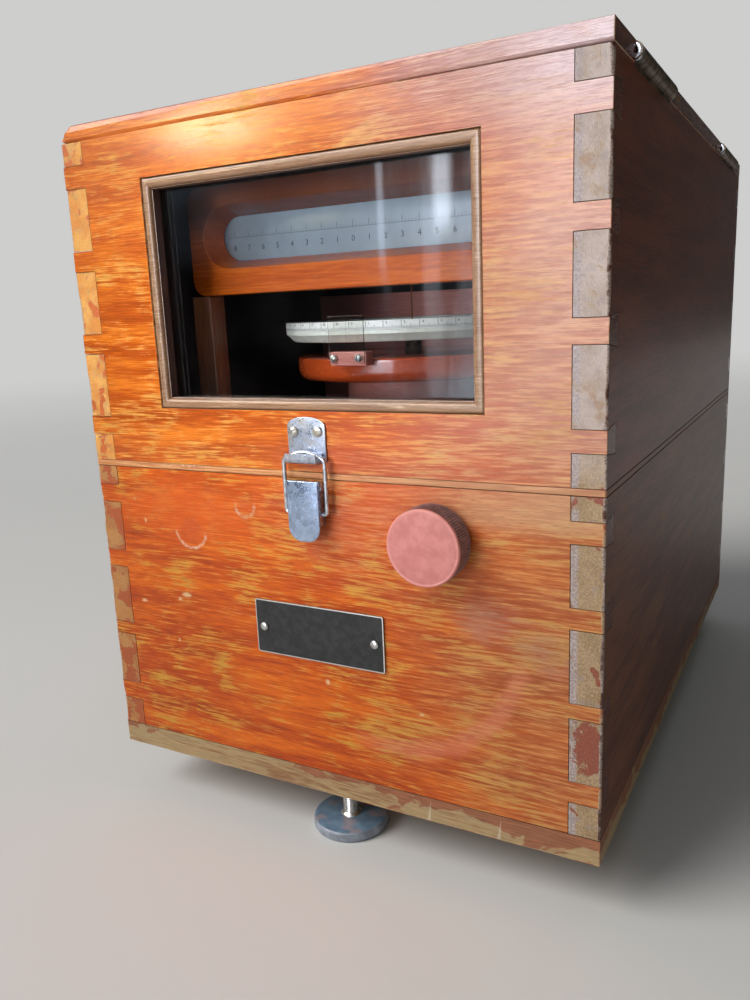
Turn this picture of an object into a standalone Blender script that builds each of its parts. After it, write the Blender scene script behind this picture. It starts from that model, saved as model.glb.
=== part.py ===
"""Laboratory electrodynamometer in a dovetailed mahogany case.

A light-spot torsion instrument: a wooden case with a hinged glazed hood and a hinged top lid.  A knob on the
front turns a worm, the worm turns a wheel on the vertical torsion spindle, and the spindle carries the white
graduated drum behind the window.  A moving coil hangs between two fixed coils and carries a mirror that throws
the lamp's spot on the opal scale.  The instrument stands on three levelling screws.

Design coordinates are millimetres: x from the case's centre line, y backwards from the front face, z up from the
underside of the baseboard.  at() turns them into world metres with the origin at the middle of the footprint, on
the plane of the feet.
"""
import math

import bmesh
import bpy
from mathutils import Matrix, Vector

for old in list(bpy.data.objects):
    bpy.data.objects.remove(old, do_unlink=True)

# ---------------------------------------------------------------- driving dimensions, mm
W, D, H = 304.8, 453.6, 372.3      # the wooden box, outside
T = 15.4                           # board thickness
G = 0.3                            # working gap between touching pieces
BASE_T = 13.7                      # baseboard
CASE_TOP = 181.7                   # top of the case boards
BEAD_Z = (182.0, 185.2)            # bead between case and hood
HOOD_Z = (185.5, 362.8)            # hood boards
LID_Z = (363.1, 372.3)             # top lid
FLARE = 1.9                        # slope of a dovetail across one board
CASE_TAILS = ((14.0, 30.8), (42.3, 74.6), (82.6, 118.8), (129.7, 159.5), (170.5, 181.7))
HOOD_TAILS = ((185.5, 200.7), (211.5, 247.4), (258.9, 293.6), (305.2, 338.4), (350.8, 362.8))

WIN_X, WIN_Z = 96.8, (216.9, 339.5)          # window opening in the hood front
BEAD_W = 5.6                                 # width of the window moulding

KNOB_X, KNOB_Z, KNOB_R, KNOB_OUT = 70.5, 155.0, 19.3, 15.5
AXIS_Y = 128.0                               # vertical torsion axis, behind the front face
WHEEL_TEETH, WHEEL_R, WORM_R = 50, 60.0, 10.5
DRUM_R, DRUM_Z = 79.0, (248.7, 260.4)
TABLE_R, TABLE_Z = 72.5, (225.8, 239.5)
DECK_Z = (168.0, 176.0)
COIL_Z = 85.0                                # centre of the coils

HOOD_AXIS = (457.3, 183.6)                   # y, z of the rear hinge
LID_AXIS = (151.4, 368.2)                    # x, z of the lid hinges
LID_HINGES = (38.0, D - 38.0 - 88.0)         # y where each lid hinge starts
HINGE_LEN = 88.0
FULCRUM = (-4.8, 178.0)                      # y, z of the latch lever's pin
BAIL_PIN = (-4.8, 164.5)

FOOT_R, FOOT_T, FOOT_DROP = 22.2, 6.5, 31.0  # disc radius, disc thickness, height of the case above the bench
FOOT_AT = ((0.0, 23.0), (-110.0, 420.0), (110.0, 420.0))
STUD_R = 4.75

TERM_X, TERM_Z, TERM_END = (-60.0, -20.0, 20.0, 60.0), 110.0, 476.0

# the footprint's middle becomes the world origin
X_MIN, X_MAX = -W / 2, LID_AXIS[0] + 4.0
Y_MIN, Y_MAX = -KNOB_OUT, TERM_END
OFFSET = Vector((-(X_MIN + X_MAX) / 2, -(Y_MIN + Y_MAX) / 2, FOOT_DROP))


def at(x, y, z):
    return (Vector((x, y, z)) + OFFSET) / 1000.0


# ---------------------------------------------------------------- collections and finishes
scene = bpy.context.scene
parts = bpy.data.collections.new("electrodynamometer")
tools = bpy.data.collections.new("cutters")
scene.collection.children.link(parts)
scene.collection.children.link(tools)

FINISH = {
    "mahogany": ((0.55, 0.17, 0.045), 0.35, 0.0),
    "mahogany_dark": ((0.30, 0.09, 0.03), 0.3, 0.0),
    "base_wood": ((0.42, 0.22, 0.09), 0.55, 0.0),
    "black_deck": ((0.02, 0.02, 0.022), 0.5, 0.0),
    "glass": ((0.85, 0.9, 0.9), 0.03, 0.0),
    "nickel": ((0.55, 0.57, 0.6), 0.3, 1.0),
    "steel": ((0.45, 0.45, 0.46), 0.35, 1.0),
    "brass": ((0.72, 0.52, 0.22), 0.3, 1.0),
    "knob_red": ((0.62, 0.2, 0.14), 0.5, 0.0),
    "foot_grey": ((0.22, 0.21, 0.21), 0.45, 1.0),
    "drum_white": ((0.88, 0.87, 0.82), 0.35, 0.0),
    "opal": ((0.62, 0.7, 0.74), 0.3, 0.0),
    "copper": ((0.5, 0.2, 0.1), 0.4, 0.0),
    "plate_black": ((0.02, 0.02, 0.02), 0.3, 0.0),
    "mirror": ((0.9, 0.9, 0.9), 0.05, 1.0),
    "enamel": ((0.05, 0.055, 0.06), 0.4, 0.0),
}
made = {}


def finish(name):
    if name not in made:
        colour, rough, metal = FINISH[name]
        m = bpy.data.materials.new(name)
        m.use_nodes = True
        b = m.node_tree.nodes["Principled BSDF"]
        b.inputs["Base Color"].default_value = (*colour, 1.0)
        b.inputs["Roughness"].default_value = rough
        b.inputs["Metallic"].default_value = metal
        m.diffuse_color = (*colour, 1.0)
        made[name] = m
    return made[name]


# ---------------------------------------------------------------- pivots
pivots = {}


def pivot(name, x, y, z):
    e = bpy.data.objects.new(name, None)
    e.empty_display_size = 0.01
    e.location = at(x, y, z)
    parts.objects.link(e)
    pivots[name] = e
    return e


pivot("hood_axis", 0, *HOOD_AXIS)
pivot("lid_axis", LID_AXIS[0], D / 2, LID_AXIS[1])
pivot("lever_axis", 0, *FULCRUM)
pivot("bail_axis", 0, *BAIL_PIN)
pivot("knob_axis", KNOB_X, -KNOB_OUT, KNOB_Z)
pivot("torsion_axis", 0, AXIS_Y, DRUM_Z[0])


def place(ob, where, group=None, cutter=False):
    """Links a new object at a world point, under a pivot if it moves."""
    (tools if cutter else parts).objects.link(ob)
    if cutter:
        ob.hide_render = True
        ob.display_type = "WIRE"
    if group:
        ob.parent = pivots[group]
        ob.location = Vector(where) - pivots[group].location
    else:
        ob.location = where
    return ob


def from_bmesh(name, bm, where, mat=None, group=None, cutter=False, smooth=False):
    me = bpy.data.meshes.new(name)
    bm.to_mesh(me)
    bm.free()
    if mat:
        me.materials.append(finish(mat))
    if smooth:
        me.shade_smooth()
        me.set_sharp_from_angle(angle=math.radians(35))
    return place(bpy.data.objects.new(name, me), where, group, cutter)


def box(name, xs, ys, zs, mat=None, group=None, cutter=False):
    bm = bmesh.new()
    bmesh.ops.create_cube(bm, size=1.0)
    bmesh.ops.scale(bm, vec=Vector((xs[1] - xs[0], ys[1] - ys[0], zs[1] - zs[0])) / 1000.0, verts=bm.verts)
    mid = at((xs[0] + xs[1]) / 2, (ys[0] + ys[1]) / 2, (zs[0] + zs[1]) / 2)
    return from_bmesh(name, bm, mid, mat, group, cutter)


TURN = {"X": Matrix.Rotation(math.radians(90), 4, "Y"), "Y": Matrix.Rotation(math.radians(-90), 4, "X"), "Z": Matrix.Identity(4)}


def rod(name, x, y, z, axis, r, length, mat=None, group=None, cutter=False, segments=24, r2=None):
    """A cylinder or cone centred on a point, along a named axis."""
    bm = bmesh.new()
    bmesh.ops.create_cone(bm, cap_ends=True, segments=segments, radius1=r / 1000.0,
                          radius2=(r if r2 is None else r2) / 1000.0, depth=length / 1000.0)
    bmesh.ops.transform(bm, matrix=TURN[axis], verts=bm.verts)
    return from_bmesh(name, bm, at(x, y, z), mat, group, cutter, smooth=True)


def turned(name, profile, x, y, z, axis, mat=None, group=None, cutter=False, steps=32, ring=False):
    """A profile of (radius, height) run down its outer side, turned about an axis with a Screw modifier."""
    me = bpy.data.meshes.new(name)
    n = len(profile)
    edges = [(i, i + 1) for i in range(n - 1)] + ([(n - 1, 0)] if ring else [])
    me.from_pydata([(r / 1000.0, 0.0, h / 1000.0) for r, h in profile], edges, [])
    if mat:
        me.materials.append(finish(mat))
    ob = place(bpy.data.objects.new(name, me), at(x, y, z), group, cutter)
    ob.rotation_mode = "QUATERNION"
    ob.rotation_quaternion = TURN[axis].to_quaternion()
    s = ob.modifiers.new("turn", "SCREW")
    s.steps = s.render_steps = steps
    s.angle = 2 * math.pi
    s.axis = "Z"
    s.use_merge_vertices = True
    s.merge_threshold = 0.00001
    s.use_smooth_shade = True
    return ob


# rotations that carry a flat outline's local (u, v, thickness) onto two world axes
PLANES = {
    "XY": Matrix(((1, 0, 0), (0, 1, 0), (0, 0, 1))),
    "XZ": Matrix(((1, 0, 0), (0, 0, -1), (0, 1, 0))),     # u = x, v = z, thickness = -y
    "YZ": Matrix(((0, 0, 1), (1, 0, 0), (0, 1, 0))),      # u = y, v = z, thickness = x
}


def plate(name, loops, plane, lo, hi, mat=None, group=None, cutter=False, smooth=False):
    """A flat outline, with any holes, given thickness from lo to hi along the plane's normal."""
    cu = bpy.data.curves.new(name, "CURVE")
    cu.dimensions = "2D"
    cu.fill_mode = "BOTH"
    cu.extrude = (hi - lo) / 2000.0
    us = [p[0] for loop in loops for p in loop]
    vs = [p[1] for loop in loops for p in loop]
    cu0, cv0 = (min(us) + max(us)) / 2, (min(vs) + max(vs)) / 2
    for loop in loops:
        sp = cu.splines.new("POLY")
        sp.points.add(len(loop) - 1)
        for p, (u, v) in zip(sp.points, loop):
            p.co = ((u - cu0) / 1000.0, (v - cv0) / 1000.0, 0.0, 1.0)
        sp.use_cyclic_u = True
    tmp = bpy.data.objects.new(name + "_outline", cu)
    scene.collection.objects.link(tmp)
    mid = (lo + hi) / 2
    where = {"XY": at(cu0, cv0, mid), "XZ": at(cu0, mid, cv0), "YZ": at(mid, cu0, cv0)}[plane]
    dg = bpy.context.evaluated_depsgraph_get()
    me = bpy.data.meshes.new_from_object(tmp.evaluated_get(dg))
    me.name = name
    bpy.data.objects.remove(tmp, do_unlink=True)
    bpy.data.curves.remove(cu)
    bm = bmesh.new()
    bm.from_mesh(me)
    bmesh.ops.remove_doubles(bm, verts=bm.verts, dist=0.000002)
    bmesh.ops.recalc_face_normals(bm, faces=bm.faces)
    bm.to_mesh(me)
    bm.free()
    me.materials.clear()
    if mat:
        me.materials.append(finish(mat))
    if smooth:
        me.shade_smooth()
        me.set_sharp_from_angle(angle=math.radians(35))
    ob = place(bpy.data.objects.new(name, me), where, group, cutter)
    ob.rotation_mode = "QUATERNION"
    ob.rotation_quaternion = PLANES[plane].to_quaternion()
    return ob


def bar(name, points, r, mat=None, group=None, resolution=2):
    """A round wire along a list of points."""
    cu = bpy.data.curves.new(name, "CURVE")
    cu.dimensions = "3D"
    cu.bevel_depth = r / 1000.0
    cu.bevel_resolution = resolution
    cu.use_fill_caps = True
    sp = cu.splines.new("POLY")
    sp.points.add(len(points) - 1)
    mid = sum((at(*p) for p in points), Vector()) / len(points)
    for q, p in zip(sp.points, points):
        q.co = (*(at(*p) - mid), 1.0)
    if mat:
        cu.materials.append(finish(mat))
    return place(bpy.data.objects.new(name, cu), mid, group)


def boolean(ob, other, how="DIFFERENCE"):
    m = ob.modifiers.new(how.lower(), "BOOLEAN")
    m.operation = how
    m.object = other
    m.solver = "EXACT"
    return ob


def rect(x0, x1, z0, z1):
    return [(x0, z0), (x1, z0), (x1, z1), (x0, z1)]


def rounded(x0, x1, z0, z1, r, n=4):
    """A rectangle with quarter-round corners; r is one radius or (bottom left, bottom right, top right, top left)."""
    rs = r if isinstance(r, tuple) else (r,) * 4
    pts = []
    for (cx, cz, sx, sz), rr, a0 in zip(((x0, z0, 1, 1), (x1, z0, -1, 1), (x1, z1, -1, -1), (x0, z1, 1, -1)), rs, (180, 270, 0, 90)):
        if rr <= 0:
            pts.append((cx, cz))
            continue
        for i in range(n + 1):
            a = math.radians(a0 + 90.0 * i / n)
            pts.append((cx + sx * rr + rr * math.cos(a), cz + sz * rr + rr * math.sin(a)))
    return pts


def circle(cx, cz, r, n=24):
    return [(cx + r * math.cos(2 * math.pi * i / n), cz + r * math.sin(2 * math.pi * i / n)) for i in range(n)]


# ---------------------------------------------------------------- dovetailed boards
def tail_side(zlo, zhi, tails):
    """Outline of a side board in (y, z): fan-shaped tails on both ends, sockets between them."""
    base = T + G
    front = []
    for a, b in tails:
        front += [(base, a + FLARE), (0.0, a)] if a > zlo else [(0.0, a)]
        front += [(0.0, b), (base, b - FLARE)] if b < zhi else [(0.0, b)]
    back = [(D - y, z) for y, z in reversed(front)]
    return front + back


def side_board(name, side, zs, tails, group=None):
    lo, hi = (W / 2 - T, W / 2) if side > 0 else (-W / 2, -W / 2 + T)
    return plate(name, [tail_side(zs[0], zs[1], tails)], "YZ", lo, hi, "mahogany", group)


def pin_board(name, rear, zs, tails, group=None):
    """Front or rear board: a plain board with its ends cut for the side boards' tails."""
    ys = (D - T, D) if rear else (0.0, T)
    ob = box(name, (-W / 2, W / 2), ys, zs, "mahogany", group)

    def edge(z, y, sign):
        """Height of a tail's slanting edge at depth y from the outer face, opened by the working gap."""
        return z + sign * (FLARE * y / (T + G) - G)

    loops = []
    for a, b in tails:
        ds = (-1.0, T + 1.0)
        lo = [edge(a, d, 1) if a > zs[0] else a - 2.0 for d in ds]
        hi = [edge(b, d, -1) if b < zs[1] else b + 2.0 for d in ds]
        pts = [(ds[0], lo[0]), (ds[1], lo[1]), (ds[1], hi[1]), (ds[0], hi[0])]
        loops.append([(D - d, z) for d, z in pts] if rear else pts)
    for s, (lo, hi) in (("right", (W / 2 - T - G, W / 2 + 1.0)), ("left", (-W / 2 - 1.0, -W / 2 + T + G))):
        boolean(ob, plate(f"{name}_sockets_{s}", loops, "YZ", lo, hi, cutter=True))
    return ob


baseboard = box("baseboard", (-W / 2, W / 2), (0.0, D), (0.0, BASE_T), "base_wood")
for i, (fx, fy) in enumerate(FOOT_AT):
    boolean(baseboard, rod(f"foot_hole_{i}", fx, fy, BASE_T / 2, "Z", STUD_R + G, BASE_T + 4, cutter=True, segments=20))

case_front = pin_board("case_front_board", False, (BASE_T + G, CASE_TOP), CASE_TAILS)
boolean(case_front, rod("knob_hole", KNOB_X, T / 2, KNOB_Z, "Y", 3.4, T + 4, cutter=True, segments=20))
pin_board("case_rear_board", True, (BASE_T + G, CASE_TOP), CASE_TAILS)
side_board("case_left_board", -1, (BASE_T + G, CASE_TOP), CASE_TAILS)
side_board("case_right_board", 1, (BASE_T + G, CASE_TOP), CASE_TAILS)

inner = (W / 2 - T, T, D - T)
plate("parting_bead", [rect(-W / 2, W / 2, 0.0, D), rect(-inner[0], inner[0], inner[1], inner[2])], "XY", *BEAD_Z, "mahogany")

deck = plate("deck_panel", [rect(-inner[0] + G, inner[0] - G, T + G, D - T - G), circle(0.0, AXIS_Y, 7.0, 20)], "XY", *DECK_Z, "black_deck")

hood_front = pin_board("hood_front_board", False, HOOD_Z, HOOD_TAILS, "hood_axis")
boolean(hood_front, box("window_cut", (-WIN_X, WIN_X), (-2.0, T + 2.0), WIN_Z, cutter=True))
pin_board("hood_rear_board", True, HOOD_Z, HOOD_TAILS, "hood_axis")
hood_left = side_board("hood_left_board", -1, HOOD_Z, HOOD_TAILS, "hood_axis")
hood_right = side_board("hood_right_board", 1, HOOD_Z, HOOD_TAILS, "hood_axis")

plate("window_moulding", [rect(-WIN_X + G, WIN_X - G, WIN_Z[0] + G, WIN_Z[1] - G),
                          rect(-WIN_X + G + BEAD_W, WIN_X - G - BEAD_W, WIN_Z[0] + G + BEAD_W, WIN_Z[1] - G - BEAD_W)],
      "XZ", 0.2, 8.0, "mahogany", "hood_axis")
box("window_glass", (-WIN_X + 0.5, WIN_X - 0.5), (8.3, 11.3), (WIN_Z[0] + 0.5, WIN_Z[1] - 0.5), "glass", "hood_axis")

lid = box("top_lid", (-W / 2, W / 2), (0.0, D), LID_Z, "mahogany", "lid_axis")
bev = lid.modifiers.new("worn_edge", "BEVEL")
bev.width, bev.segments, bev.limit_method = 0.0016, 2, "ANGLE"

# ---------------------------------------------------------------- lid hinges, barrel showing on the right edge
AX, AZ = LID_AXIS
for tag, y0 in zip(("front", "rear"), LID_HINGES):
    cuts = [y0 + HINGE_LEN * f for f in (0.0, 0.205, 0.4, 0.6, 0.795, 1.0)]
    own = [(cuts[0], cuts[1] - 0.2), (cuts[2] + 0.2, cuts[3] - 0.2), (cuts[4] + 0.2, cuts[5])]
    far = [(cuts[1] + 0.2, cuts[2] - 0.2), (cuts[3] + 0.2, cuts[4] - 0.2)]
    yy = (y0 - 0.4, y0 + HINGE_LEN + 0.4)
    boolean(hood_right, box(f"lid_mortise_{tag}", (AX - 12.9, W / 2 + 1.0), yy, (361.1, 364.0), cutter=True))
    boolean(lid, box(f"barrel_notch_{tag}", (AX - 4.7, W / 2 + 2.0), yy, (360.0, 375.0), cutter=True))
    boolean(lid, box(f"leaf_recess_{tag}", (AX - 18.9, AX - 4.0), yy, (361.0, 364.8), cutter=True))

    # the leaf on the side board, with the pin in its own knuckles
    leaf = plate(f"lid_side_leaf_{tag}", [rect(AX - 12.4, AX + 0.4, y0, y0 + HINGE_LEN)], "XY", 361.4, 362.7, "brass", "hood_axis")
    for k, (a, b) in enumerate(own):
        boolean(leaf, box(f"lid_web_{tag}_{k}", (AX - 1.2, AX + 0.4), (a, b), (362.0, AZ), cutter=True), "UNION")
        boolean(leaf, rod(f"lid_knuckle_{tag}_{k}", AX, (a + b) / 2, AZ, "Y", 4.0, b - a, cutter=True, segments=14), "UNION")
    boolean(leaf, rod(f"lid_pin_{tag}", AX, y0 + HINGE_LEN / 2, AZ, "Y", 2.0, HINGE_LEN - 14.0, cutter=True, segments=12), "UNION")
    boolean(leaf, rod(f"lid_pin_hole_{tag}", AX, y0, AZ, "Y", 1.9, 10.0, cutter=True, segments=12))

    # the leaf under the lid
    flap = plate(f"lid_leaf_{tag}", [rect(AX - 18.4, AX - 3.2, y0, y0 + HINGE_LEN)], "XY", 363.2, 364.5, "brass", "lid_axis")
    for k, (a, b) in enumerate(far):
        boolean(flap, box(f"lid_tab_{tag}_{k}", (AX - 4.4, AX - 0.9), (a, b), (363.2, AZ), cutter=True), "UNION")
        boolean(flap, rod(f"lid_far_knuckle_{tag}_{k}", AX, (a + b) / 2, AZ, "Y", 4.0, b - a, cutter=True, segments=14), "UNION")
    boolean(flap, rod(f"lid_far_bore_{tag}", AX, y0 + HINGE_LEN / 2, AZ, "Y", 2.35, HINGE_LEN + 4.0, cutter=True, segments=12))

# ---------------------------------------------------------------- rear hinge between case and hood
HY, HZ = HOOD_AXIS
HINGE_W, STEP_W = 120.0, 40.0
marks = [-HINGE_W + STEP_W * i for i in range(7)]


def leaf_outline(up, mine):
    """Leaf in (x, z), cut back where the other leaf's knuckles sit."""
    far_z, near_z, back_z = (HZ + 33.4, HZ + 0.6, HZ + 3.5) if up else (HZ - 33.6, HZ - 0.6, HZ - 3.5)
    pts = [(marks[0], far_z)]
    for i in range(6):
        own = (i % 2 == 0) == mine
        z = near_z if own else back_z
        s = 0.2 if own else -0.2
        x0 = marks[i] + (s if i else 0.0)
        x1 = marks[i + 1] - (s if i < 5 else 0.0)
        pts += [(x0, z), (x1, z)]
    pts.append((marks[-1], far_z))
    return pts


case_leaf = plate("case_hinge_leaf", [leaf_outline(False, True)], "XZ", D + G, D + G + 1.4, "brass")
hood_leaf = plate("hood_hinge_leaf", [leaf_outline(True, False)], "XZ", D + G, D + G + 1.4, "brass", "hood_axis")
for i in range(6):
    mine = i % 2 == 0
    x0, x1 = marks[i] + (0.2 if i else 0.0), marks[i + 1] - (0.2 if i < 5 else 0.0)
    boolean(case_leaf if mine else hood_leaf,
            rod(f"rear_knuckle_{i}", (x0 + x1) / 2, HY, HZ, "X", 3.0, x1 - x0, cutter=True, segments=16), "UNION")
boolean(case_leaf, rod("rear_pin", -0.5, HY, HZ, "X", 1.4, 2 * HINGE_W - 2.0, cutter=True, segments=12), "UNION")
boolean(hood_leaf, rod("rear_bore", 0, HY, HZ, "X", 1.75, 2 * HINGE_W + 4.0, cutter=True, segments=12))

# ---------------------------------------------------------------- nameplate
NP = (-40.7, 40.1, 80.4, 111.7)
plate("nameplate", [rounded(*NP, 1.2, 2)], "XZ", -1.3, -0.3, "plate_black")


def dome(name, x, y, z, r, h, mat, group=None, steps=14):
    """A round screw head standing out of the front, with a flat back at y."""
    n = 3
    prof = [(0.0, h)] + [(r * math.sin(math.pi / 2 * i / n), h * (0.35 + 0.65 * math.cos(math.pi / 2 * i / n))) for i in range(1, n + 1)]
    prof += [(r, 0.0), (0.0, 0.0)]
    ob = turned(name, prof, x, y, z, "Y", mat, group, steps=steps)
    ob.rotation_quaternion = Matrix.Rotation(math.radians(90), 4, "X").to_quaternion()
    return ob


dome("nameplate_screw_left", -35.3, -1.6, 96.0, 2.5, 1.4, "nickel")
dome("nameplate_screw_right", 34.7, -1.6, 96.0, 2.5, 1.4, "nickel")

# ---------------------------------------------------------------- toggle latch
FY, FZ = FULCRUM
BY, BZ = BAIL_PIN
base = plate("latch_base", [rect(-8.2, 8.2, 158.0, 176.0)], "XZ", -1.2, -0.3, "nickel")
arc = [(FY + 2.4 * math.cos(math.radians(a)), FZ + 2.4 * math.sin(math.radians(a))) for a in (45, 75, 105, 135, 165, 195, 225)]
ear = [(-0.5, 164.0), (-0.5, 175.9)] + arc + [(-3.2, 164.0)]
for s, (lo, hi) in (("right", (7.1, 8.2)), ("left", (-8.2, -7.1))):
    boolean(base, plate(f"latch_ear_{s}", [ear], "YZ", lo, hi, cutter=True), "UNION")
boolean(base, rod("latch_pin", 0, FY, FZ, "X", 1.3, 18.6, cutter=True, segments=12), "UNION")

cheek = [(-8.4, 157.7), (-3.5, 157.7), (-1.9, 160.5), (-1.9, 178.6), (-2.8, 180.8), (-5.0, 182.0), (-8.4, 182.0)]
lever = plate("latch_lever", [cheek], "YZ", -9.5, 9.5, "nickel", "lever_axis")
boolean(lever, plate("lever_tongue", [rounded(-9.5, 9.5, 149.9, 170.0, (7.5, 7.5, 0, 0), 5)], "XZ", -8.4, -7.5, cutter=True), "UNION")
boolean(lever, box("lever_hollow", (-8.6, 8.6), (-7.5, 2.0), (150.0, 181.2), cutter=True))
boolean(lever, box("lever_top_gap", (-8.6, 8.6), (-5.6, 2.0), (180.0, 184.0), cutter=True))
boolean(lever, rod("lever_pin_hole", 0, FY, FZ, "X", 1.6, 24.0, cutter=True, segments=12))
boolean(lever, rod("lever_bail_holes", 0, BY, BZ, "X", 1.5, 24.0, cutter=True, segments=12))


def bail_path():
    """Up one leg, over the arched top and down the other, with the ends turned in for the lever's holes."""
    half, leg, top, mid = 12.4, 12.4, 191.6, 196.6
    right = [(8.8, BZ), (10.6, BZ)]
    right += [(leg - 1.8 + 1.8 * math.sin(math.radians(a)), BZ + 1.8 - 1.8 * math.cos(math.radians(a))) for a in (30, 60, 90)]
    right += [(leg, 178.0), (leg, top - 1.0)]
    right += [(half - 1.7 * (1 - math.cos(math.radians(a))), top + 1.9 * math.sin(math.radians(a))) for a in (20, 50)]
    crown = [(x, mid - (mid - 193.4) * (abs(x) / 11.3) ** 2) for x in (10.6, 7.5, 4.0, 0.0)]
    right += crown
    left = [(-x, z) for x, z in reversed(right[:-1])]
    return [(x, BY, z) for x, z in right + left]


bar("latch_bail", bail_path(), 1.2, "nickel", "bail_axis", resolution=2)

keeper = plate("latch_keeper", [[(-11.4, 190.6), (11.4, 190.6), (11.4, 209.0)]
                                + [(11.4 * math.cos(math.radians(a)), 209.0 + 5.2 * math.sin(math.radians(a))) for a in range(15, 180, 15)]
                                + [(-11.4, 209.0)]], "XZ", -1.3, -0.3, "nickel", "hood_axis")
hook = [(-1.0, 190.6), (-8.55, 190.6), (-8.55, 196.0), (-7.45, 196.0), (-7.45, 191.8), (-1.0, 191.8)]
boolean(keeper, plate("keeper_hook", [hook], "YZ", -9.3, 9.3, cutter=True), "UNION")
dome("keeper_screw_left", -7.2, -1.6, 206.6, 2.8, 2.0, "nickel", "hood_axis")
dome("keeper_screw_right", 7.2, -1.6, 206.8, 2.8, 2.0, "nickel", "hood_axis")

# ---------------------------------------------------------------- knob, worm and wheel
knob_profile = [(0.0, 14.5), (17.6, 14.5), (18.7, 14.1), (19.3, 13.0), (19.3, 1.0), (18.8, 0.3), (17.6, 0.0),
                (8.0, 0.0), (7.0, 2.5), (3.3, 2.5), (3.3, 9.0), (0.0, 9.0)]
knob = turned("knob", knob_profile, KNOB_X, -1.0, KNOB_Z, "Y", "knob_red", "knob_axis", steps=32)
knob.rotation_quaternion = Matrix.Rotation(math.radians(90), 4, "X").to_quaternion()

LEAD = 2 * math.pi * WHEEL_R / WHEEL_TEETH


def worm_mesh(name, r_root, r_tip, y0, y1, seg=18, rows_per_lead=8):
    """A cylinder whose side is raised into one right-hand thread of the wheel's pitch."""
    rows = int(round((y1 - y0) / LEAD * rows_per_lead))
    bm = bmesh.new()
    rings = []
    for j in range(rows + 1):
        y = y0 + (y1 - y0) * j / rows
        ends = min(1.0, min(j, rows - j) / 3.0)
        ring = []
        for i in range(seg):
            a = 2 * math.pi * i / seg
            t = (y - AXIS_Y) / LEAD - a / (2 * math.pi)
            f = abs((t + 0.5) % 1.0 - 0.5)                       # 0 on the thread's crest, 0.5 in the groove
            k = max(0.0, min(1.0, (0.235 - f) / 0.13)) * ends
            r = r_root + (r_tip - r_root) * k
            ring.append(bm.verts.new((r * math.cos(a) / 1000.0, (y - y0) / 1000.0, -r * math.sin(a) / 1000.0)))
        rings.append(ring)
    for j in range(rows):
        for i in range(seg):
            k = (i + 1) % seg
            bm.faces.new((rings[j][i], rings[j][k], rings[j + 1][k], rings[j + 1][i]))
    bm.faces.new(rings[0])
    bm.faces.new(list(reversed(rings[-1])))
    bmesh.ops.recalc_face_normals(bm, faces=bm.faces)
    return from_bmesh(name, bm, at(KNOB_X, y0, KNOB_Z), "steel", "knob_axis", smooth=True)


worm = worm_mesh("worm_shaft", WORM_R - 2.0, WORM_R + 1.5, AXIS_Y - 12.0, AXIS_Y + 12.0)
boolean(worm, rod("worm_arbor", KNOB_X, (AXIS_Y + 24.0 - 7.0) / 2, KNOB_Z, "Y", 3.0, AXIS_Y + 24.0 + 7.0, cutter=True, segments=16), "UNION")

bearing = box("worm_bearing", (61.5, 79.5), (144.0, 151.0), (145.0, DECK_Z[0] - G), "brass")
boolean(bearing, rod("worm_bearing_bore", KNOB_X, 147.5, KNOB_Z, "Y", 3.3, 12.0, cutter=True, segments=16))


def wheel_outline():
    """Slim straight teeth on the worm wheel, one tooth pointing at the worm's groove."""
    pts = []
    root, tip = WHEEL_R - 2.0, WHEEL_R + 1.4
    pitch = 2 * math.pi / WHEEL_TEETH
    for i in range(WHEEL_TEETH):
        c = pitch * i
        for da, r in ((-0.17, root), (-0.09, tip), (0.09, tip), (0.17, root)):
            a = c + da * pitch
            pts.append((r * math.cos(a), AXIS_Y + r * math.sin(a)))
    return pts


plate("worm_wheel", [wheel_outline(), circle(0.0, AXIS_Y, 5.3, 20)], "XY", 152.5, 157.5, "brass", "torsion_axis")

# ---------------------------------------------------------------- torsion spindle, drum and its table
SPINDLE_TOP = DRUM_Z[1] - 1.2                  # just under the hub, so that nothing stands above the drum
turned("drum_spindle", [(5.0, SPINDLE_TOP), (5.0, 148.0), (2.6, 148.0), (2.6, SPINDLE_TOP)], 0, AXIS_Y, 0, "Z", "steel", "torsion_axis", steps=20, ring=True)
lo, hi = DRUM_Z
turned("drum_dial", [(5.3, hi - 1.0), (14.0, hi - 1.0), (15.0, hi - 3.2), (73.5, hi - 3.2), (74.3, hi - 0.3), (DRUM_R - 0.6, hi),
                     (DRUM_R, hi - 0.6), (DRUM_R, lo + 4.2), (DRUM_R - 1.4, lo + 3.6), (DRUM_R - 4.6, lo + 0.4), (DRUM_R - 5.4, lo), (5.3, lo)],
       0, AXIS_Y, 0, "Z", "drum_white", "torsion_axis", steps=44, ring=True)

tz0, tz1 = TABLE_Z
rim = [(TABLE_R, tz1 - 1.0), (TABLE_R, tz0 + 5.5)]
rim += [(TABLE_R - 5.0 + 5.0 * math.cos(math.radians(a)), tz0 + 5.5 - 5.5 * math.sin(math.radians(a))) for a in (30, 60, 90)]
turned("drum_table", [(7.0, tz1), (TABLE_R - 1.0, tz1)] + rim + [(44.0, tz0), (42.0, tz0 - 2.0), (42.0, DECK_Z[1] + G), (7.0, DECK_Z[1] + G)],
       0, AXIS_Y, 0, "Z", "mahogany", steps=36, ring=True)

box("cursor_block", (-12.0, 10.6), (47.3, 55.2), (236.2, 244.0), "mahogany_dark")
box("cursor_plate", (-12.0, 10.2), (45.9, 47.0), (237.6, 263.3), "glass")
dome("cursor_screw_left", -9.3, 45.6, 240.6, 2.1, 1.5, "nickel")
dome("cursor_screw_right", 6.4, 45.6, 240.6, 2.1, 1.5, "nickel")

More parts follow.
